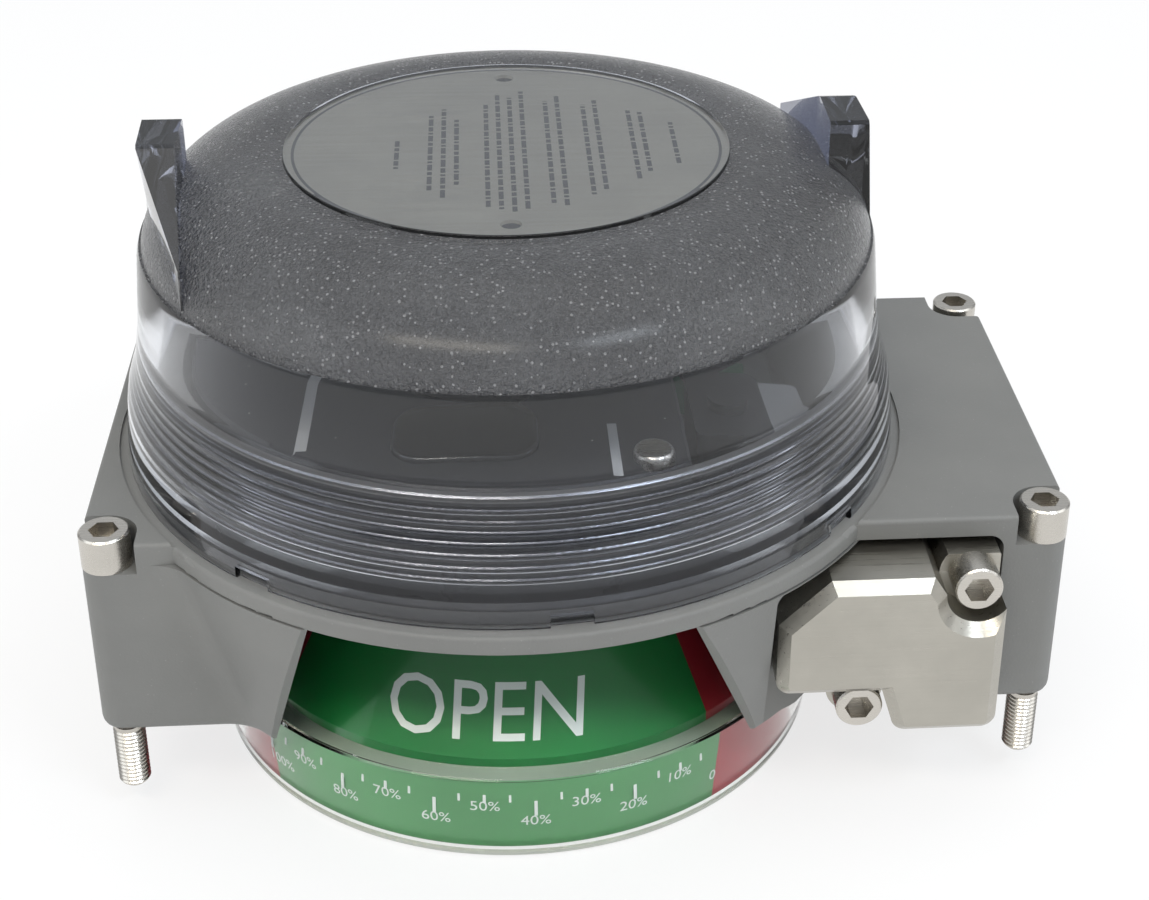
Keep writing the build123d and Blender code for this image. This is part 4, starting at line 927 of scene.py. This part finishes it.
def make_drum():
    """Printed insert over the drum, and the clear shell, whose foot is painted pale as
    painted light on the clear edge.
    """
    shape = lathe_mesh("insert", [
        (10.0, DRUM_TOP + 0.02), (CONE_TOP_RADIUS, DRUM_TOP + 0.02),
        (CONE_FOOT_RADIUS, 0.0), (CONE_FOOT_RADIUS, SKIRT_TOP),
        (SKIRT_TOP_RADIUS, SKIRT_TOP), (SKIRT_FOOT_RADIUS, SKIRT_FOOT),
        (51.9, SKIRT_FOOT), (50.0, -3.6), (49.7, 0.0),
        (33.6, DRUM_TOP - 2.3), (10.0, DRUM_TOP - 2.3)], 256)
    drum = piece_from("indicator_insert", smooth(shape, 25), "rotor",
                      PRINT, SKIN, PRINT_PALE, LEDGE)
    for face in shape.polygons:
        centre = face.center / MM
        out = face.normal.x * centre.x + face.normal.y * centre.y
        if centre.z > DRUM_TOP - 0.2 or out < 0.01:
            face.material_index = 1
        elif centre.z < -2.1:
            face.material_index = 2
        if face.normal.z > 0.9 and -2.2 < centre.z < -1.8:
            face.material_index = 3
    refined("indicator_drum", "rotor", SKIN)
    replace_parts(drum, "indicator_drum")
    lens = lathe_mesh("lens", [
        (36.0, DRUM_TOP), (54.0, 0.15), (54.3, 0.0), (56.6, -0.25),
        (57.0, -0.6), (57.0, -1.8), (55.35, DRUM_FOOT + 0.9),
        (55.2, DRUM_FOOT + 0.15), (54.9, DRUM_FOOT), (53.7, DRUM_FOOT),
        (53.5, DRUM_FOOT + 0.4), (57.0 - LENS_WALL, -1.8), (52.1, -1.8),
        (52.0, 0.0), (34.1, DRUM_TOP)], 320)
    shell = piece_from("indicator_lens_shell", smooth(lens, 20), "rotor",
                       LENS, LENS_EDGE_PAINTED_LIGHT)
    # the lens's foot takes the pale colour: painted light on the clear edge
    for face in lens.polygons:
        if face.center.z / MM < SKIRT_FOOT:
            face.material_index = 1
    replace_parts(shell, "indicator_lens")


def skirt_word(text, azimuth, middle):
    """Small figures bent round the skirt, at a share of its height."""
    word = wrap(letters(text, 3.1, cell=1.2), azimuth, SKIRT_FOOT_RADIUS,
                SKIRT_FOOT, SKIRT_TOP_RADIUS, SKIRT_TOP, middle)
    word.materials.append(WHITE)
    return word


def cone_word(text, azimuth, size):
    """Large word bent round the cone."""
    word = letters(text, size)
    word.transform(Matrix.Diagonal((0.93, 1.0, 1.0, 1.0)))
    wrap(word, azimuth, CONE_FOOT_RADIUS, 0.0, CONE_TOP_RADIUS,
         DRUM_TOP + 0.02, 0.225)
    word.materials.append(WHITE)
    return word


def make_drum_marks():
    """Ticks, percent numbers and words of the printed insert."""
    marks = []
    for start in (SCALE_ZERO, SCALE_ZERO - 180.0):
        for step, count, offset, length, width, middle in (
                (-18.0, 5, -18.0, 5.3, 0.55, -6.75),
                (-18.0, 5, -9.0, 2.6, 0.5, -5.2),
                (-9.0, 10, -4.5, 2.2, 0.4, -5.2)):
            surface = SKIRT_TOP_RADIUS + (middle - SKIRT_TOP) * SKIRT_SLOPE
            marks.append(grown(
                "ticks", TICKS, Count=count, Start=radians(start + offset),
                Step=radians(step), Radius=surface * MM, Height=middle * MM,
                Width=width * MM, Length=length * MM, Thickness=0.16 * MM,
                Tilt=-SKIRT_SLOPE, Material=WHITE))
        for percent in range(10, 100, 10):
            height = -11.0 if percent % 20 == 0 else -7.6
            share = (height - SKIRT_FOOT) / (SKIRT_TOP - SKIRT_FOOT)
            marks.append(skirt_word(f"{percent}%", start - percent * 0.9, share))
        marks.append(skirt_word("0", start - 0.9, 0.35))
        marks.append(skirt_word("100%", start - 88.4, 0.35))
    for azimuth, text, size in (
            (SECTOR_MIDDLE, "OPEN", 14.4), (SECTOR_MIDDLE + 180, "OPEN", 14.4),
            (SECTOR_MIDDLE + 90, "CLOSED", 11.0),
            (SECTOR_MIDDLE - 90, "CLOSED", 11.0)):
        marks.append(cone_word(text, azimuth, size))
    piece_from("indicator_marks", merged("marks", marks), "rotor")


make_drum()
make_drum_marks()


# ------------------------------------------------ carried-over CAD pieces
for node, body, material in (
        ("cover_o_ring", "cover_carrier", RUBBER), ("shaft", "rotor", STEEL),
        ("upper_bushing", "base", BRONZE), ("lower_bushing", "base", BRONZE),
        ("shaft_seal", "rotor", RUBBER), ("retaining_clip", "rotor", DARK_STEEL),
        ("magnet_carrier", "rotor", BLACK), ("carrier_magnets", "rotor", STEEL),
        ("drive_coupler", "rotor", BLACK), ("coupler_screw", "rotor", STEEL),
        ("module_body", "base", MODULE), ("module_plate", "base", LID),
        ("module_screws", "base", STEEL), ("circuit_board", "base", BOARD),
        ("status_window", "base", TINT), ("status_lamps", "base", WHITE),
        ("set_open_button", "open_button", BUTTON),
        ("set_closed_button", "closed_button", BUTTON),
        ("pilot_solenoid", "base", BLACK), ("pilot_connector", "base", GREY),
        ("terminal_strip", "base", TERMINAL), ("terminal_screws", "base", BRASS),
        ("ground_screw", "base", BRASS), ("valve_block", "base", NICKEL),
        ("valve_block_gasket", "base", RUBBER), ("valve_block_screws", "base", STEEL),
        ("valve_spool", "spool", STEEL), ("spool_plug", "base", STEEL),
        ("mounting_screws", "base", STEEL), ("conduit_plug", "base", BLACK)):
    refined(node, body, material)


def make_stud_threads():
    """Thread ridges of the four mounting screws, below the pads."""
    head = 4.2              # radius of a screw's head
    first, last = low("mounting_screws"), high("mounting_screws")
    foot = first.z
    stacks = []
    for x in (first.x + head, last.x - head):
        for y in (first.y + head, last.y - head):
            stacks.append(grown(
                "stud", THREAD, Count=14, Pitch=0.8 * MM, Radius=2.28 * MM,
                Ridge=0.45 * MM, Base=(x * MM, y * MM, (foot + 1.1) * MM),
                Segments=32, Material=STEEL))
    piece_from("stud_threads", smooth(merged("studs", stacks)), "base")


make_stud_threads()


def make_module_marks():
    """Two pale stripes printed on the module's lid."""
    foot = high("module_plate").z
    top = foot + PRINT_THICKNESS
    bars = [box_mesh("stripe", (-34.2, -43.6, foot), (-32.4, -20, top)),
            box_mesh("stripe", (14.4, -52.6, foot), (15.9, -39, top))]
    piece_from("module_stripes", merged("stripes", bars), "base", STRIPE)


make_module_marks()


# --------------------------------------------------- floor, light, camera
FLOOR_SHADE = 0.9
FLOOR_GLOW = 0.75       # share of plain white in what the floor shows
FLOOR_REACH = 4.0
HORIZON, ZENITH = 0.26, 1.0


def floor_material():
    """Pale surface that shows white but keeps the shadow."""
    material = bpy.data.materials.new("pale floor")
    material.use_nodes = True
    tree = material.node_tree
    tree.nodes.clear()
    out = add(tree, "ShaderNodeOutputMaterial", (600, 0))
    dull = add(tree, "ShaderNodeBsdfDiffuse", (0, 0),
               {"Color": (FLOOR_SHADE, FLOOR_SHADE, FLOOR_SHADE, 1)})
    glow = add(tree, "ShaderNodeEmission", (0, -200),
               {"Color": (1, 1, 1, 1), "Strength": 1.0})
    mix = add(tree, "ShaderNodeMixShader", (300, 0))
    path = add(tree, "ShaderNodeLightPath", (-500, 300))
    mirrored = maths(tree, "ADD", path.outputs["Is Glossy Ray"],
                     path.outputs["Is Transmission Ray"])
    seen = maths(tree, "ADD", path.outputs["Is Camera Ray"], mirrored)
    share = maths(tree, "MULTIPLY", maths(tree, "MINIMUM", seen, 1.0),
                  FLOOR_GLOW)
    join(tree, share, mix.inputs["Fac"])
    join(tree, dull.outputs[0], mix.inputs[1])
    join(tree, glow.outputs[0], mix.inputs[2])
    join(tree, mix.outputs[0], out.inputs["Surface"])
    return material


def make_floor():
    """Square floor just under the drum."""
    floor_mesh = bpy.data.meshes.new("floor")
    z = CAD_BOX[0].z - 0.0003
    corners = ((-1, -1), (1, -1), (1, 1), (-1, 1))
    floor_mesh.from_pydata(
        [(x * FLOOR_REACH, y * FLOOR_REACH, z) for x, y in corners],
        [], [(0, 1, 2, 3)])
    floor_mesh.materials.append(floor_material())
    loose("floor", floor_mesh)


def make_world():
    """White backdrop, and a sky that lights more from above."""
    world = bpy.data.worlds.new("studio")
    bpy.context.scene.world = world
    world.use_nodes = True
    sky = world.node_tree
    sky.nodes.clear()
    out = add(sky, "ShaderNodeOutputWorld", (800, 0))
    soft = add(sky, "ShaderNodeBackground", (300, 100),
               {"Color": (0.93, 0.96, 1.0, 1)})
    white = add(sky, "ShaderNodeBackground", (300, -100),
                {"Color": (1, 1, 1, 1), "Strength": 1.0})
    choose = add(sky, "ShaderNodeMixShader", (550, 0))
    path = add(sky, "ShaderNodeLightPath", (-100, 300))
    join(sky, path.outputs["Is Camera Ray"], choose.inputs["Fac"])
    aim = add(sky, "ShaderNodeTexCoord", (-900, 0))
    parts = add(sky, "ShaderNodeSeparateXYZ", (-700, 0))
    join(sky, aim.outputs["Generated"], parts.inputs["Vector"])
    height = add(sky, "ShaderNodeMapRange", (-450, 0),
                 {"To Min": HORIZON, "To Max": ZENITH})
    join(sky, parts.outputs["Z"], height.inputs["Value"])
    join(sky, height.outputs["Result"], soft.inputs["Strength"])
    join(sky, soft.outputs[0], choose.inputs[1])
    join(sky, white.outputs[0], choose.inputs[2])
    join(sky, choose.outputs[0], out.inputs["Surface"])


def softbox(name, place, aim, size, power, colour):
    """Rectangular lamp that faces a point."""
    light = bpy.data.lights.new(name, "AREA")
    light.shape = "RECTANGLE"
    light.size, light.size_y = size
    light.energy = power
    light.color = colour
    made = loose(name, light)
    made.location = place
    away = Vector(aim) - Vector(place)
    made.rotation_euler = away.to_track_quat("-Z", "Y").to_euler()


def make_camera():
    """Camera in front, a little to the left and above."""
    view = bpy.data.cameras.new("camera")
    camera = loose("camera", view)
    bpy.context.scene.camera = camera
    view.sensor_width = 36.0
    view.lens = 65.93
    view.shift_x = -0.0522
    view.shift_y = -0.0870
    view.clip_start, view.clip_end = 0.01, 20.0
    camera.location = (-0.003625, -0.331168, 0.226846)
    camera.rotation_euler = (radians(61.889), radians(-0.4838),
                             radians(-4.1513))


make_floor()
make_world()
for lamp in (
        ("overhead", (0.05, 0.1, 0.9), (0, 0, 0.05), (0.9, 0.5), 1.0,
         (1.0, 0.97, 0.92)),
        ("left window", (-0.9, -0.3, 0.5), (0, 0, 0.03), (0.5, 0.8), 1.6,
         (0.93, 0.97, 1.0)),
        ("right window", (0.9, -0.2, 0.55), (0, 0, 0.03), (0.4, 0.7), 1.4,
         (0.95, 0.98, 1.0)),
        ("warm front", (-0.3, -0.7, 1.0), (0, 0, 0.07), (0.65, 0.16), 4.5,
         (1.0, 0.93, 0.8)),
        ("cool front", (0.5, -0.62, 0.95), (0, 0, 0.07), (0.4, 0.16), 3.2,
         (0.84, 0.92, 1.0))):
    softbox(*lamp)
make_camera()
bpy.context.scene.view_settings.view_transform = "Standard"
